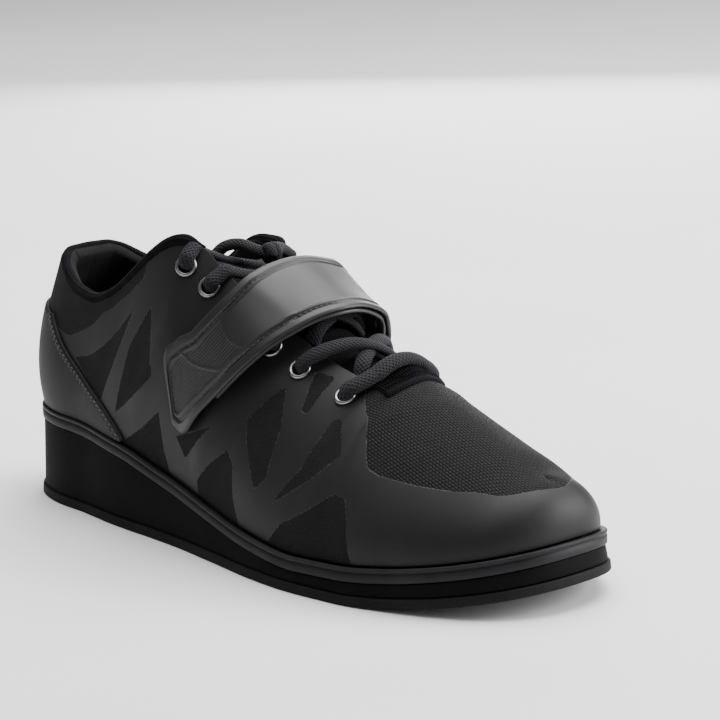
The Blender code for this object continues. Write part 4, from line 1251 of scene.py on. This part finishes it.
def stitches(name, path, out, pitch, length, radius):
    """A row of stitches: short capsules along a path, each sunk a little at its ends."""
    path, out = np.asarray(path, float), np.asarray(out, float)
    run = walked(path)
    count = max(2, int(run[-1] / pitch))
    sides, rings = 6, 5
    t = np.linspace(-1, 1, rings)
    at = (np.arange(count)[:, None] + 0.5) * run[-1] / count + t[None] * length / 2
    centre, up = resampled(at, run, path), unit(resampled(at, run, out))
    ahead = unit(np.gradient(centre, axis=1))
    across = unit(np.cross(ahead, up))
    thick = radius * np.sqrt(np.clip(1.02 - t**2, 0, 1))[None, :, None, None]
    centre = centre + up * (radius * 0.6 - radius * 1.4 * t[None, :, None] ** 4)
    angle = np.arange(sides) * 2 * math.pi / sides
    ring = across[:, :, None] * np.cos(angle)[:, None] + up[:, :, None] * np.sin(angle)[:, None]
    points = centre[:, :, None] + ring * thick
    base = grid_faces(rings, sides, round_columns=True)
    faces = (base[None] + (np.arange(count) * rings * sides)[:, None, None]).reshape(-1, 4)
    caps = []
    for k in range(count):
        start, end = k * rings * sides, k * rings * sides + (rings - 1) * sides
        caps += [list(range(start, start + sides))[::-1], list(range(end, end + sides))]
    return mesh_object(name, points, faces.tolist() + caps, thread)


dress(make_counter(), "satin_film", "heel_counter")


def seam_line(side, ahead, lift):
    """A line on the skin beside the counter's front edge."""
    v = np.linspace(0.01, 0.70, 80)
    phi = side * turn(counter_front(v) + ahead)
    return shell(phi, v, np.full(v.shape, lift)), skin_normal(phi, v)


for word, side in (("lateral", 1), ("medial", -1)):
    path, out = seam_line(side, SEAM_AHEAD, 0.0005)
    cord = tube(f"heel_cord_{word}", path, SEAM_WIDTH, SEAM_DEPTH, out, satin_film, sides=24)
    dress(cord, "satin_film")
    for row, ahead in enumerate(SEAM_STITCHES, 1):
        path, out = seam_line(side, ahead, SEAM_STITCH_LIFT)
        dress(stitches(f"heel_stitches_{word}_{row}", path, out, **HEEL_STITCH), "satin_film")


# %% [markdown]
# ## Collar binding and throat bar
#
# A rolled knit binding runs round the whole collar, thick at the front and thin over the
# padded heel. A ribbed bar closes the throat at the toe end. The binding is a tube whose size
# changes along it, and the bar is a small patch with a wave for its ribs.

# %% Binding and bar
COLLAR_FRONT, BINDING = 0.412, 0.0055
# The bar behind and ahead of the throat's end, and its bow, as shares of SOLE_LENGTH
PATCH_BEHIND, PATCH_AHEAD, PATCH_BOW = 0.034, 0.012, 0.012
PATCH_HALF, PATCH_WIDTH = 0.0165, 0.034
PATCH_EDGE, PATCH_CROWN, PATCH_BASE = -0.0004, 0.0019, -0.0012
PATCH_RIB, PATCH_PITCH = 0.00030, 0.0011


def make_binding():
    """A tube along the collar's rim, from one eyestay round the heel to the other."""
    reach = np.linspace(-1, 1, 300)
    along = COLLAR_FRONT * np.abs(reach) ** 1.6
    phi = turn(along) * np.where(reach < 0, 1, -1)
    top = np.ones(phi.shape)
    rim, inner = shell(phi, top, 0 * phi), shell(phi, top, -wall(phi, top))
    padded = np.clip(np.linalg.norm(inner - rim, axis=1) / 0.009, 0, 1)
    line = rim + (inner - rim) * 0.36 + np.array([0, 0, 1.0]) * (0.0003 + 0.0012 * padded)[:, None]
    for _ in range(12):
        line[1:-1] = (line[:-2] + 2 * line[1:-1] + line[2:]) / 4
    thick = BINDING * (1 - 0.25 * smooth_step((0.16 - along) / 0.10))
    thick = thick * (0.30 + 0.70 * smooth_step((COLLAR_FRONT - along) / 0.022))
    out = np.broadcast_to([0.0, 0.0, 1.0], line.shape)
    return tube("collar_binding", line, thick, thick, out, lining_cloth, sides=28)


def make_throat_bar():
    """A cushion over the throat's toe end, ribbed along the foot."""
    near, far = THROAT_END - PATCH_BEHIND, THROAT_END + PATCH_AHEAD
    u, w = np.linspace(-1, 1, 221), np.linspace(-1, 1, 41)
    reach = PATCH_HALF * u[None] * np.ones((41, 1))
    along = near + (far - near) * (w[:, None] + 1) / 2 - PATCH_BOW * u[None] ** 2
    dome = quarter_round((1 - np.maximum(np.abs(u[None]) ** 3, np.abs(w[:, None]))) / 0.30)
    ribs = PATCH_RIB * np.cos(reach * 2 * math.pi / PATCH_PITCH)
    ribs = ribs * smooth_step((0.72 - np.abs(w[:, None])) / 0.15)
    top = over(along, reach, PATCH_EDGE + (PATCH_CROWN + ribs) * dome)[0]
    base = over(along, reach, PATCH_BASE)[0]
    base[:, :, 2] = np.minimum(base[:, :, 2], top[:, :, 2] - 0.0002)
    loop = np.concatenate([top, base[::-1]], axis=0)
    n, m = loop.shape[:2]
    faces = grid_faces(n, m, round_rows=True)
    first_side = [[k * m, (k + 1) * m, (n - k - 2) * m, (n - k - 1) * m] for k in range(n // 2 - 1)]
    other_side = [[c + m - 1 for c in corners[::-1]] for corners in first_side]
    uv = np.stack([np.broadcast_to(np.linspace(0, PATCH_WIDTH, m)[None], (n, m)), walked(loop, 0)], axis=-1)
    return mesh_object("throat_bar", loop, faces.tolist() + first_side + other_side, padded_cloth, uv)


dress(make_binding(), "padded_cloth")
dress(make_throat_bar(), "padded_cloth")


# %% [markdown]
# ## Tongue
#
# The tongue is a padded strip under the throat. Its top edge swells, and it has sewn ribs
# across, so the lift is a slow wave along it, and its section thins to the sides.

# %% Tongue
TONGUE_TOP, TONGUE_TOE = 0.404, 0.712
TOP_SINK, TOE_SINK = 0.0034, 0.0018
RIB_LENGTH, RIB_HEIGHT = 0.0052, 0.0004
END_LENGTH = 0.0060


def make_tongue():
    """A padded strip between two faces that thins to its sides, with a rounded end above the laces."""
    places = np.linspace(TONGUE_TOP, TONGUE_TOE, 150)
    reach = np.linspace(-1, 1, 61) * TONGUE_HALF
    near_end = np.clip((TONGUE_TOE - places) / 0.10, 0, 1)
    tucked = np.clip((places - 0.44) / 0.06, 0, 1)
    free = np.array([throat_edge(a) for a in places]) - 0.0045
    narrow = (0.74 + 0.26 * near_end) * tucked + free / TONGUE_HALF * (1 - tucked)
    under = wall(turn(places), np.ones(places.shape)) + TONGUE_GAP
    depth = -under - TOP_SINK * np.clip((0.46 - places) / 0.05, 0, 1)
    depth = depth - TOE_SINK * np.clip((places - 0.66) / (TONGUE_TOE - 0.66), 0, 1)
    spread = narrow[:, None] * reach[None]
    ribs = RIB_HEIGHT * np.sin((places - 0.40) * SOLE_LENGTH / RIB_LENGTH * 2 * math.pi)
    quilt = ribs[:, None] * smooth_step((0.80 - np.abs(reach) / TONGUE_HALF) / 0.2)[None]
    top, out = over(places[:, None], spread, depth[:, None] - 0.0004 + quilt)
    slim = 1 - 0.65 * (np.abs(reach) / TONGUE_HALF) ** 4
    slim = slim[None] * (0.45 + 0.55 * np.clip((TONGUE_TOE - places) / 0.12, 0, 1))[:, None]
    bottom = top - out * (TONGUE_THICKNESS * slim)[..., None]
    middle = (top + bottom) / 2
    rise = unit(middle[0] - middle[4])
    extra_top, extra_bottom = [], []
    for t in np.linspace(0, 1, 9)[1:]:
        half = (top[0] - middle[0]) * math.sqrt(1 - t * t)
        centre = middle[0].mean(axis=0)
        base = centre + (middle[0] - centre) * [1, 1 - 0.14 * t, 1] + rise * END_LENGTH * t
        extra_top.insert(0, base + half)
        extra_bottom.insert(0, base - half)
    top, bottom = np.vstack([np.array(extra_top), top]), np.vstack([np.array(extra_bottom), bottom])
    loop = np.concatenate([top, bottom[:, ::-1]], axis=1)
    faces = grid_faces(loop.shape[0], loop.shape[1], round_columns=True)[:, ::-1]
    n, m = loop.shape[:2]
    end = [[(n - 1) * m + c for c in (m - k - 1, m - k - 2, k + 1, k)] for k in range(m // 2 - 1)]
    uv = np.stack([walked(loop, 1), walked(loop, 0)], axis=-1).reshape(-1, 2)
    same = np.arange(n * m)
    same[m // 2:m] = same[:m // 2][::-1]
    used, index = np.unique(same, return_inverse=True)
    faces = joined(faces.tolist() + end, index)
    return mesh_object("padded_tongue", loop.reshape(-1, 3)[used], faces, padded_cloth, uv[used])


tongue = dress(make_tongue(), "padded_cloth", "tongue")


# %% [markdown]
# ## Strap, ring and tab
#
# The strap is one long band: a path of places and heights over the instep, and a section
# that is carried along it. Its upper face has rolled edges, a stitched groove 4 mm inside
# them, and a moulded pad of fine ribs at the pointed end. All of that is one height function
# of the distance from the strap's edges, so it stays put when the strap's sizes change.

# %% Band along a path
FINE_STEP, FINE_LENGTH, STRAP_ROUND = 0.00035, 0.068, 0.0009
BEND = RING_RADIUS + RING_GAP + STRAP_THICKNESS / 2
LAYERS = STRAP_THICKNESS + 0.0004


def sole_reach():
    """Distance from the crest to the upper's lower edge on the medial side, at the tab."""
    along = (TAB["rear"][-1] + TAB["front"][-1]) / 2
    return float(walked(section_line(along)[0][CREST_POINT:])[-1])


TAB_DOWN = sole_reach() - STRAP_END


def edges_at(rows, reach):
    """A band's rear and front edge, as places along, at a distance from the crest."""
    if rows is TAB:
        share = (reach - STRAP_END) / TAB_DOWN
        return eased(rows["reach"], rows["rear"], share), eased(rows["reach"], rows["front"], share)
    at = rows["reach"] * BALL_WIDTH
    return eased(at, rows["rear"], reach), eased(at, rows["front"], reach)


def strap_lift(reach):
    """The strap's lower layer lies on the upper at its ends and rides over the laces between."""
    away = smooth_step((np.abs(reach) / BALL_WIDTH - 0.22) / 0.48)
    return STRAP_LIFT + (LAYER_GAP + STRAP_THICKNESS / 2 - STRAP_LIFT) * away + 0.0003


def even_path(path, fine_to, step):
    """A path of reach and lift, walked in short steps up to fine_to and in even ones behind it."""
    path = np.array(path, float)
    at = walked(path)
    rest = np.linspace(fine_to, at[-1], int((at[-1] - fine_to) / step) + 1)
    run = np.append(np.arange(0, fine_to, FINE_STEP), rest)
    return resampled(run, at, path), run


def outline_distance(across, run, line_across, line_run):
    """Least distance from each point of a flat grid to a line given by points."""
    at = np.linspace(0, 1, 5 * len(line_run))
    share = np.linspace(0, 1, len(line_run))
    best = np.full(np.broadcast(across, run).shape, 1.0)
    for a, r in zip(np.interp(at, share, line_across), np.interp(at, share, line_run)):
        best = np.minimum(best, (across - a) ** 2 + (run - r) ** 2)
    return np.sqrt(best)


def band(name, rows, path, relief, material, columns=161, fine=0.0, step=0.0008):
    """A band whose outer face has relief, a function of run and of the distance to each edge.

    The path is walked in steps of 0.35 mm up to `fine` and in steps of `step` behind it. The
    face is laid flat to measure the distances, as a pattern cutter would.
    """
    path, run = even_path(path, fine, step)
    ahead = np.gradient(path, axis=0)
    away = unit(np.stack([-ahead[:, 1], ahead[:, 0]], axis=1))
    rear, front = edges_at(rows, path[:, 0])
    even = np.linspace(-1, 1, columns)
    share = (np.sin(even * math.pi / 2) * 0.12 + even * 0.88 + 1) / 2
    along = rear[:, None] + (front - rear)[:, None] * share[None]
    flat, _ = over(along, path[:, :1], path[:, 1:])
    width = walked(flat, 1)
    stretch = width[:, -1].mean() / (front - rear).mean()
    rear_line, front_line = rear * stretch, rear * stretch + width[:, -1]
    across = rear_line[:, None] + width
    tip = np.linspace(rear_line[0], front_line[0], 6)
    line_run = np.append(np.zeros(6), run)
    from_rear = outline_distance(across, run[:, None], np.append(tip[::-1], rear_line), line_run)
    from_front = outline_distance(across, run[:, None], np.append(tip, front_line), line_run)
    straight = (run > 0.022) & (run < 0.060) if fine else run >= 0
    chord = np.polyval(np.polyfit(run[straight], front_line[straight], 1), run)
    lane = chord[:, None] - across
    from_rear, from_front = np.minimum(from_rear, width), np.minimum(from_front, width[:, -1:] - width)
    half = STRAP_THICKNESS / 2
    edge = np.clip(np.minimum(from_rear, from_front) / STRAP_ROUND, 0, 1)
    rolled = quarter_round(edge)
    up = half * rolled + relief(run[:, None], from_rear, from_front, lane) * edge
    down = (-half * rolled)[:, ::8]
    top, _ = over(along, path[:, :1] + away[:, :1] * up, path[:, 1:] + away[:, 1:] * up)
    bottom, _ = over(along[:, ::8], path[:, :1] + away[:, :1] * down, path[:, 1:] + away[:, 1:] * down)
    loop = np.concatenate([top, bottom[:, ::-1][:, 1:-1]], axis=1)
    n, m = loop.shape[:2]
    faces = grid_faces(n, m, round_columns=True)
    caps = [list(range(m))[::-1], [(n - 1) * m + k for k in range(m)]]
    uv = np.stack([walked(loop, 1), np.broadcast_to(run[:, None], (n, m))], axis=-1)
    made = mesh_object(name, loop, faces.tolist() + caps, material, uv)
    return made, path, away, run


# %% Relief of the strap
GROOVE_INSET, FRAME_INSET, PAD_INSET = 0.0040, 0.0054, 0.0062
RIB_PITCH, RIB_DEPTH = 0.00125, 0.00050
PAD_END, PAD_MIDDLE, PAD_HOLLOW = 0.0568, 0.0145, 52.0
BAR_PLACE, BAR_LEAN = 0.0330, 0.74


def bell(distance, centre, width):
    """1 at the centre, and down to nothing over about two widths."""
    return np.exp(-(((distance - centre) / width) ** 2))


def strap_relief(run, rear, front, lane):
    """Height over the strap's face: soft border, stitched groove, thin frame and ribbed pad."""
    edge = np.minimum(rear, front)
    height = 0.00025 * smooth_step(edge / 0.0015) * smooth_step((GROOVE_INSET - edge) / 0.0010)
    height = height - 0.00055 * bell(edge, GROOVE_INSET, 0.00050) + 0.00035 * bell(edge, FRAME_INSET, 0.00048)
    pad_end = PAD_END + PAD_HOLLOW * (rear - PAD_MIDDLE) ** 2
    within = smooth_step((pad_end - run) / 0.0005) * smooth_step((edge - PAD_INSET) / 0.0003)
    bar = bell(run, BAR_PLACE + BAR_LEAN * (rear - GROOVE_INSET), 0.0008)
    bar = bar * smooth_step((edge - FRAME_INSET) / 0.0004)
    ribs = RIB_DEPTH * (0.5 + 0.5 * np.cos(2 * math.pi * lane / RIB_PITCH))
    return height - (ribs + 0.00015) * within * (1 - bar) + 0.00030 * bar


HALF_TURN = np.linspace(0, math.pi, 20)[1:-1]


def strap_path():
    """Reach and lift of the band: over the laces to the ring, round it, and back underneath."""
    first, fold, back = STRAP["reach"][0] * BALL_WIDTH, STRAP_END, STRAP_RETURN * BALL_WIDTH
    middle = float(strap_lift(fold)) + BEND
    reach = np.linspace(first, fold, 80)
    near = smooth_step((reach / fold - 0.2) / 0.8)
    flat = strap_lift(reach) + LAYERS * smooth_step((reach / BALL_WIDTH + 0.86) / 0.22)
    top = list(zip(reach, flat + (middle + BEND - flat) * near))
    bend = [(fold + BEND * math.sin(t), middle + BEND * math.cos(t)) for t in HALF_TURN]
    under = [(r, float(strap_lift(r))) for r in np.linspace(fold, back, 50)]
    return top + bend + under


strap, strap_line, strap_away, strap_run = band(
    "instep_strap", STRAP, strap_path(), strap_relief, strap_film, fine=FINE_LENGTH
)
dress(strap, "satin_film", "strap")


def strap_stitches(first, last):
    """Two rows of stitches inside each edge of the strap, between two distances along it."""
    kept = (strap_run >= first) & (strap_run <= last)
    path, away = strap_line[kept], strap_away[kept]
    lift = STRAP_THICKNESS / 2 - STITCH_SINK
    for word, edge, inwards in zip(("rear", "front"), edges_at(STRAP, path[:, 0]), (1, -1)):
        for row, inset in enumerate(STITCH_INSETS, 1):
            place = edge + inwards * inset / SOLE_LENGTH
            spots, out = over(place, path[:, 0] + away[:, 0] * lift, path[:, 1] + away[:, 1] * lift)
            dress(stitches(f"strap_stitches_{word}_{row}", spots, out, **STRAP_STITCH), "satin_film")


STITCH_INSETS, STITCH_SINK, STITCH_START = (0.0034, 0.0044), 0.0003, 0.030
STRAP_STITCH = {"pitch": 0.0024, "length": 0.0017, "radius": 0.00022}
turning = np.argmax(strap_line[:, 0])
STRAP_TOP = float(np.interp(STRAP_END, strap_line[:turning, 0], strap_run[:turning]))
strap_stitches(STITCH_START, STRAP_TOP)

# %% Ring and tab
TAB_LIFT = LAYER_GAP + STRAP_THICKNESS / 2 + 0.0003


def bar_points(rows, reach, lift, count=9):
    """Points of one of the ring's bars, which lies across a band and stands out past both its edges."""
    rear, front = (float(e) for e in edges_at(rows, np.float64(reach)))
    extra = RING_OVERHANG / SOLE_LENGTH
    places = np.linspace(rear - extra, front + extra, count)
    return over(places, np.full(count, reach), np.full(count, lift))


def make_ring():
    """A wire ring: two bars and two ends joined by round corners, with a round section."""
    near, out = bar_points(STRAP, STRAP_END, float(strap_lift(STRAP_END)) + BEND)
    far, _ = bar_points(TAB, STRAP_END + RING_BAR_PITCH, TAB_LIFT + BEND)
    corners = np.vstack([near, far[::-1]])
    loop = np.vstack([corners, corners[:1]])
    at = walked(loop)
    line = resampled(np.linspace(0, at[-1], 240, endpoint=False), at, loop)
    for _ in range(30):
        line = (np.roll(line, 1, axis=0) + 2 * line + np.roll(line, -1, axis=0)) / 4
    ahead = unit(np.roll(line, -1, axis=0) - np.roll(line, 1, axis=0))
    across = unit(np.cross(ahead, np.broadcast_to(out.mean(axis=0), line.shape)))
    up = np.cross(across, ahead)
    angle = np.arange(16) * math.pi / 8
    ring = across[:, None] * np.cos(angle)[None, :, None] + up[:, None] * np.sin(angle)[None, :, None]
    points = line[:, None] + ring * RING_RADIUS
    return mesh_object("wire_ring", points, grid_faces(240, 16, True, True), dark_metal)


dress(make_ring(), "dark_metal", "strap_ring")


def tab_relief(run, rear, front, lane):
    """Height over the tab: stitched edges, and two stitched channels across its ring end."""
    edge = np.minimum(rear, front)
    height = -0.0004 * bell(edge, 0.0030, 0.0005)
    back = TAB_LENGTH - run
    return height - 0.0004 * bell(back, 0.0090, 0.0005) - 0.0004 * bell(back, 0.0130, 0.0005)


def tab_path():
    """Reach and lift of the tab: up from the sole to the ring, round it, and a little way back."""
    start = STRAP_END + RING_BAR_PITCH
    end, back = STRAP_END + TAB["reach"][-1] * TAB_DOWN, STRAP_END + TAB_RETURN * TAB_DOWN
    middle = TAB_LIFT + BEND
    reach = np.linspace(end, start, 60)
    near = smooth_step(1 - (reach - start) / (TAB_FOLD * TAB_DOWN))
    layers = LAYERS * smooth_step((back + 0.006 - reach) / 0.006)
    top = list(zip(reach, TAB_LIFT + layers + (BEND * 2 - layers) * near))
    bend = [(start - BEND * math.sin(t), middle + BEND * math.cos(t)) for t in HALF_TURN]
    return top + bend + [(r, TAB_LIFT) for r in np.linspace(start, back, 12)]


TAB_LENGTH = (TAB["reach"][-1] * TAB_DOWN) - RING_BAR_PITCH
tab = band("folded_tab", TAB, tab_path(), tab_relief, satin_film, columns=81)[0]
dress(tab, "satin_film", "ring_tab")
print(f"strap: {strap_run[-1] * 1000:.0f} mm of band, {STRAP_TOP * 1000:.0f} mm of it on top")


# %% [markdown]
# ## Eyelets
#
# A turned shape is a profile carried round an axis: a rolled lip outside, a barrel down
# through the cloth. All twelve come from one function.

# %% Eyelets
def turned_piece(name, profile, place, axis, material, sides=48):
    """A closed profile of radius and height, carried once round an axis."""
    axis = unit(np.asarray(axis, float))
    side_one = unit(np.cross(axis, [0.3, 0.9, 0.1]))
    side_two = np.cross(axis, side_one)
    angle = np.arange(sides) * 2 * math.pi / sides
    spoke = side_one * np.cos(angle)[:, None] + side_two * np.sin(angle)[:, None]
    profile = np.array(profile)
    points = place + spoke[:, None] * profile[None, :, :1] + axis * profile[None, :, 1:]
    return mesh_object(name, points, grid_faces(sides, len(profile), True, True), material)


LIP_MIDDLE, LIP_HALF = (EYELET_OUTER + EYELET_HOLE) / 2, (EYELET_OUTER - EYELET_HOLE) / 2
LIP_HEIGHT, BARREL = 0.0011, 0.0005
lip_profile = [
    (LIP_MIDDLE + LIP_HALF * math.cos(t), EYELET_GAP + LIP_HEIGHT * math.sin(t))
    for t in np.linspace(0, math.pi, 13)
]
lip_profile += [(EYELET_HOLE, -WALL), (EYELET_HOLE + BARREL, -WALL), (EYELET_HOLE + BARREL + 0.0001, 0.0)]
# a dark cloth disc over each eyelet's hole, just above the upper, which has no hole: painted shade of the
# hole
hole_shade_low, hole_shade_high, hole_shade_edge = 0.00008, 0.00018, EYELET_HOLE + 0.0002
hole_shade_profile = [(0.0001, hole_shade_high), (0.0001, hole_shade_low), (hole_shade_edge, hole_shade_low), (hole_shade_edge, hole_shade_high)]
for number, along in enumerate(EYELETS, 1):
    for word, side in (("lateral", -1), ("medial", 1)):
        place, out = over(along, side * (throat_edge(along) + EYELET_INSET), 0.0)
        ring = turned_piece(f"eyelet_ring_{word}_{number}", lip_profile, place, out, dark_metal)
        dress(ring, "dark_metal", f"eyelet_{word}_{number}")
        # a dark disc of painted shade in each eyelet's hole
        hole_shade = turned_piece(f"eyelet_hole_shade_{word}_{number}", hole_shade_profile, place, out, lining_cloth, 24)
        dress(hole_shade, "padded_cloth")


# %% [markdown]
# ## Laces
#
# The lace is one braided cord, laced from the toe up. A bar joins the first pair of eyelets,
# and from each eyelet a run dives under the eyestay, crosses the tongue and comes over the
# opposite edge into the next hole. Each run is a few listed places over the throat, and a
# smooth path through them.

# %% Runs over the throat
LACE_POINTS = 70


def lace_run(name, places, width, depth, count=LACE_POINTS):
    """A run through places along, reaches and lifts; the lace lies flat on the throat."""
    places = np.array([tuple(p) for p in places], float)
    t = np.linspace(0, 1, len(places))
    fine = np.linspace(0, 1, count)
    smooth = np.stack([eased(t, places[:, k], fine) for k in range(3)], axis=-1)
    route, out = over(smooth[:, 0], smooth[:, 1], smooth[:, 2])
    return tube(name, route, width, depth, out, lace_cloth)


# The bar's places, as shares of the eyelet's distance from the crest and of the bar's bulge
BAR_BULGE = 0.026
BAR_REACHES = np.array([-1.00, -0.99, -0.88, -0.55, 0.0, 0.55, 0.88, 0.99, 1.00])
BAR_SHARES = np.array([0.0, 0.05, 0.35, 0.80, 1.0, 0.80, 0.35, 0.05, 0.0])
BAR_LIFTS = (-0.0026, 0.0014, 0.0034, 0.0030, 0.0032, 0.0028, 0.0032, 0.0014, -0.0026)
bar_reach = (throat_edge(EYELETS[0]) + EYELET_INSET) * BAR_REACHES
bar_along = EYELETS[0] + BAR_BULGE * BAR_SHARES
bar = lace_run("lace_first_bar", zip(bar_along, bar_reach, BAR_LIFTS), BAR_WIDTH, BAR_DEPTH, 110)
dress(bar, "lace_cloth", "lace_bar")

# A run goes from its eyelet (share 0) to the far end under the eyestay (1.14). The first two
# rise freely, and the strap and the tongue's top press the others down.
CROSS_INNER, CROSS_SHORT = 0.60, 0.015
CROSS_SHARES = np.array([0.0, 0.01, 0.07, 0.25, 0.50, 0.75, 1.0, 1.14])
FREE_LIFTS = np.array([-0.0026, 0.0012, 0.0030, 0.0032, 0.0026, 0.0012, 0.0, -0.0022])
LOW_LIFTS = np.array([-0.0026, 0.0012, 0.0026, 0.0014, 0.0004, -0.0004, -0.0012, -0.0026])
CROSSINGS = ((FREE_LIFTS, 0.0), (FREE_LIFTS, 0.0), (LOW_LIFTS, 0.0), (LOW_LIFTS, 0.0012), (LOW_LIFTS, 0.0034))
LATERAL_OVER, MEDIAL_UNDER = 0.0010, -0.0008
for number, (lifts, pressed) in enumerate(CROSSINGS, 1):
    low, high = EYELETS[number - 1], EYELETS[number]
    reach_low, reach_high = throat_edge(low) * CROSS_INNER, throat_edge(high) + EYELET_INSET
    for word, side, passing in (("lateral", -1, LATERAL_OVER), ("medial", 1, MEDIAL_UNDER)):
        along = high + (low - CROSS_SHORT - high) * CROSS_SHARES
        reach = side * (reach_high - (reach_high + reach_low) * CROSS_SHARES)
        lift = lifts.copy()
        lift[3:] -= pressed
        lift[3:6] += passing
        run = lace_run(f"lace_run_{number + 1}_{word}", zip(along, reach, lift), LACE_WIDTH, LACE_DEPTH)
        dress(run, "lace_cloth", *([f"lace_crossing_{number}"] if side < 0 else []))

# %% [markdown]
# The bow lies flat behind the strap: one loop rises over the tongue's top and tucks back
# under the strap's rear edge, the other leans to the medial side. Its few places are counted
# from the knot, and it lies a little lower than in the CAD model.

# %% Bow
BOW_KNOT = (0.441, 0.002, 0.0070)
BOW_LATERAL = [
    (-0.021, -0.011, -0.001), (-0.017, -0.009, 0.0025), (-0.012, -0.006, 0.0035), (-0.006, -0.003, 0.0015),
]
BOW_MEDIAL = [
    (-0.003, 0.005, 0.0005), (-0.006, 0.010, 0.0005), (-0.008, 0.015, -0.0015), (-0.008, 0.019, -0.0045),
]
BOW_WIDTH, BOW_DEPTH = 0.0058, 0.0042
KNOT_WIDTH, KNOT_DEPTH, KNOT_RADIUS, KNOT_LENGTH = 0.0042, 0.0034, 0.0030, 0.0040
knot = over(*(np.float64(x) for x in BOW_KNOT))[0]
bow_route = smooth_path(knot + np.array(BOW_LATERAL + [(0.0, 0.0, 0.0)] + BOW_MEDIAL), 150)
bow_flats = np.tile([0.6, 0.0, 0.8], (len(bow_route), 1))
bow = tube("lace_bow_loops", bow_route, BOW_WIDTH, BOW_DEPTH, bow_flats, lace_cloth)
dress(bow, "lace_cloth", "lace_bow")
turns = np.linspace(0.0, 2.6 * math.pi, 80)
coil = [KNOT_RADIUS * np.cos(turns), KNOT_LENGTH * (turns / turns[-1] - 0.5), KNOT_RADIUS * np.sin(turns)]
wrap = np.stack(coil, axis=-1) + knot
wrapped = dress(tube("lace_bow_knot", wrap, KNOT_WIDTH, KNOT_DEPTH, wrap - knot, lace_cloth), "lace_cloth")


# %% Footbed
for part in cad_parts["insole"].material_slots:
    part.material = insole_cloth

# %% [markdown]
# ## Studio
#
# The photograph is a catalogue picture, so the shoe stands on a pale floor under a large soft
# light that hangs over its far side. Two smaller lights behind it draw bright rims on the toe
# and the heel. The camera's angle was worked out from the outline of both shoes.

# %% Camera
AZIMUTH, ELEVATION, ROLL = (math.radians(a) for a in (46.3037, 12.4764, -1.4294))
CAMERA_PLACE = (0.98292 - HEEL_REST, -0.76024, 0.32164)
FOCAL_LENGTH, SENSOR = 145.02, 36.0


def camera_matrix():
    """Axes of a camera that looks from AZIMUTH and ELEVATION, turned by ROLL, as a 4x4 matrix."""
    ca, sa, ce, se = math.cos(AZIMUTH), math.sin(AZIMUTH), math.cos(ELEVATION), math.sin(ELEVATION)
    back = np.array([sa * ce, -ca * ce, se])
    right = np.array([ca, sa, 0.0])
    up = np.cross(back, right)
    cr, sr = math.cos(ROLL), math.sin(ROLL)
    matrix = np.eye(4)
    matrix[:3, :3] = np.stack([right * cr + up * sr, up * cr - right * sr, back], axis=1)
    matrix[:3, 3] = CAMERA_PLACE
    return matrix


lens = bpy.data.cameras.new("camera")
lens.lens, lens.sensor_width, lens.clip_end = FOCAL_LENGTH, SENSOR, 20
camera = bpy.data.objects.new("camera", lens)
bpy.context.scene.collection.objects.link(camera)
camera.matrix_world = camera_matrix().T.tolist()
bpy.context.scene.camera = camera
print("camera at", [round(x, 3) for x in camera.matrix_world.translation])


# %% Floor, lights and world
def make_floor():
    """A wide flat floor; the camera looks down so far that it sees nothing else."""
    wide = np.linspace(-9, 9, 19)
    points = np.stack([*np.meshgrid(wide, wide, indexing="ij"), np.zeros((19, 19))], axis=-1)
    return mesh_object("studio_floor", points, grid_faces(19, 19)[:, ::-1], floor_paint)


floor_paint = finish("floor_paint", mottled((0.74, 0.74, 0.74), (0.77, 0.77, 0.77), 3.0), 0.9)
floor = make_floor()
floor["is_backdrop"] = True


def area_light(name, place, target, size, power):
    """A square soft light at place, turned to target."""
    lamp = bpy.data.lights.new(name, "AREA")
    lamp.size, lamp.energy = size, power
    thing = bpy.data.objects.new(name, lamp)
    bpy.context.scene.collection.objects.link(thing)
    back = unit(np.array(place, float) - np.array(target, float))
    right = unit(np.cross([0.0, 0.0, 1.0], back)) if abs(back[2]) < 0.999 else np.array([1.0, 0.0, 0.0])
    matrix = np.eye(4)
    matrix[:3, :3] = np.stack([right, np.cross(back, right), back], axis=1)
    matrix[:3, 3] = place
    thing.matrix_world = matrix.T.tolist()


MIDDLE = (0.13, 0.0, 0.06)
# Place, target, width in metres and power in watts
LIGHTS = {
    "key_above": ((0.05, 0.70, 1.70), (0.05, 0.68, 0.0), 1.8, 88),
    "front_above": ((0.10, -0.60, 1.50), MIDDLE, 0.8, 7),
    "rim_right": ((1.05, 0.90, 0.55), MIDDLE, 0.8, 30),
    "rim_left": ((-0.80, 1.05, 0.45), MIDDLE, 0.7, 10),
}
for name, values in LIGHTS.items():
    area_light(name, *values)

WORLD_STRENGTH = 0.36
world = bpy.data.worlds.new("studio")
world.use_nodes = True
sky = world.node_tree.nodes["Background"]
sky.inputs["Color"].default_value = (1.0, 1.0, 1.0, 1.0)
sky.inputs["Strength"].default_value = WORLD_STRENGTH
bpy.context.scene.world = world

# %% [markdown]
# ## Sizes of the two boxes
#
# The CAD model's box and the dressed shoe's box are printed, each as its size in millimetres.

# %% Size and finish
dressed_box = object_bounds()
for word, box in (("CAD", cad_box), ("dressed", dressed_box)):
    print(word, [round((high - low) * 1000, 1) for low, high in zip(box[0], box[1])], "mm")
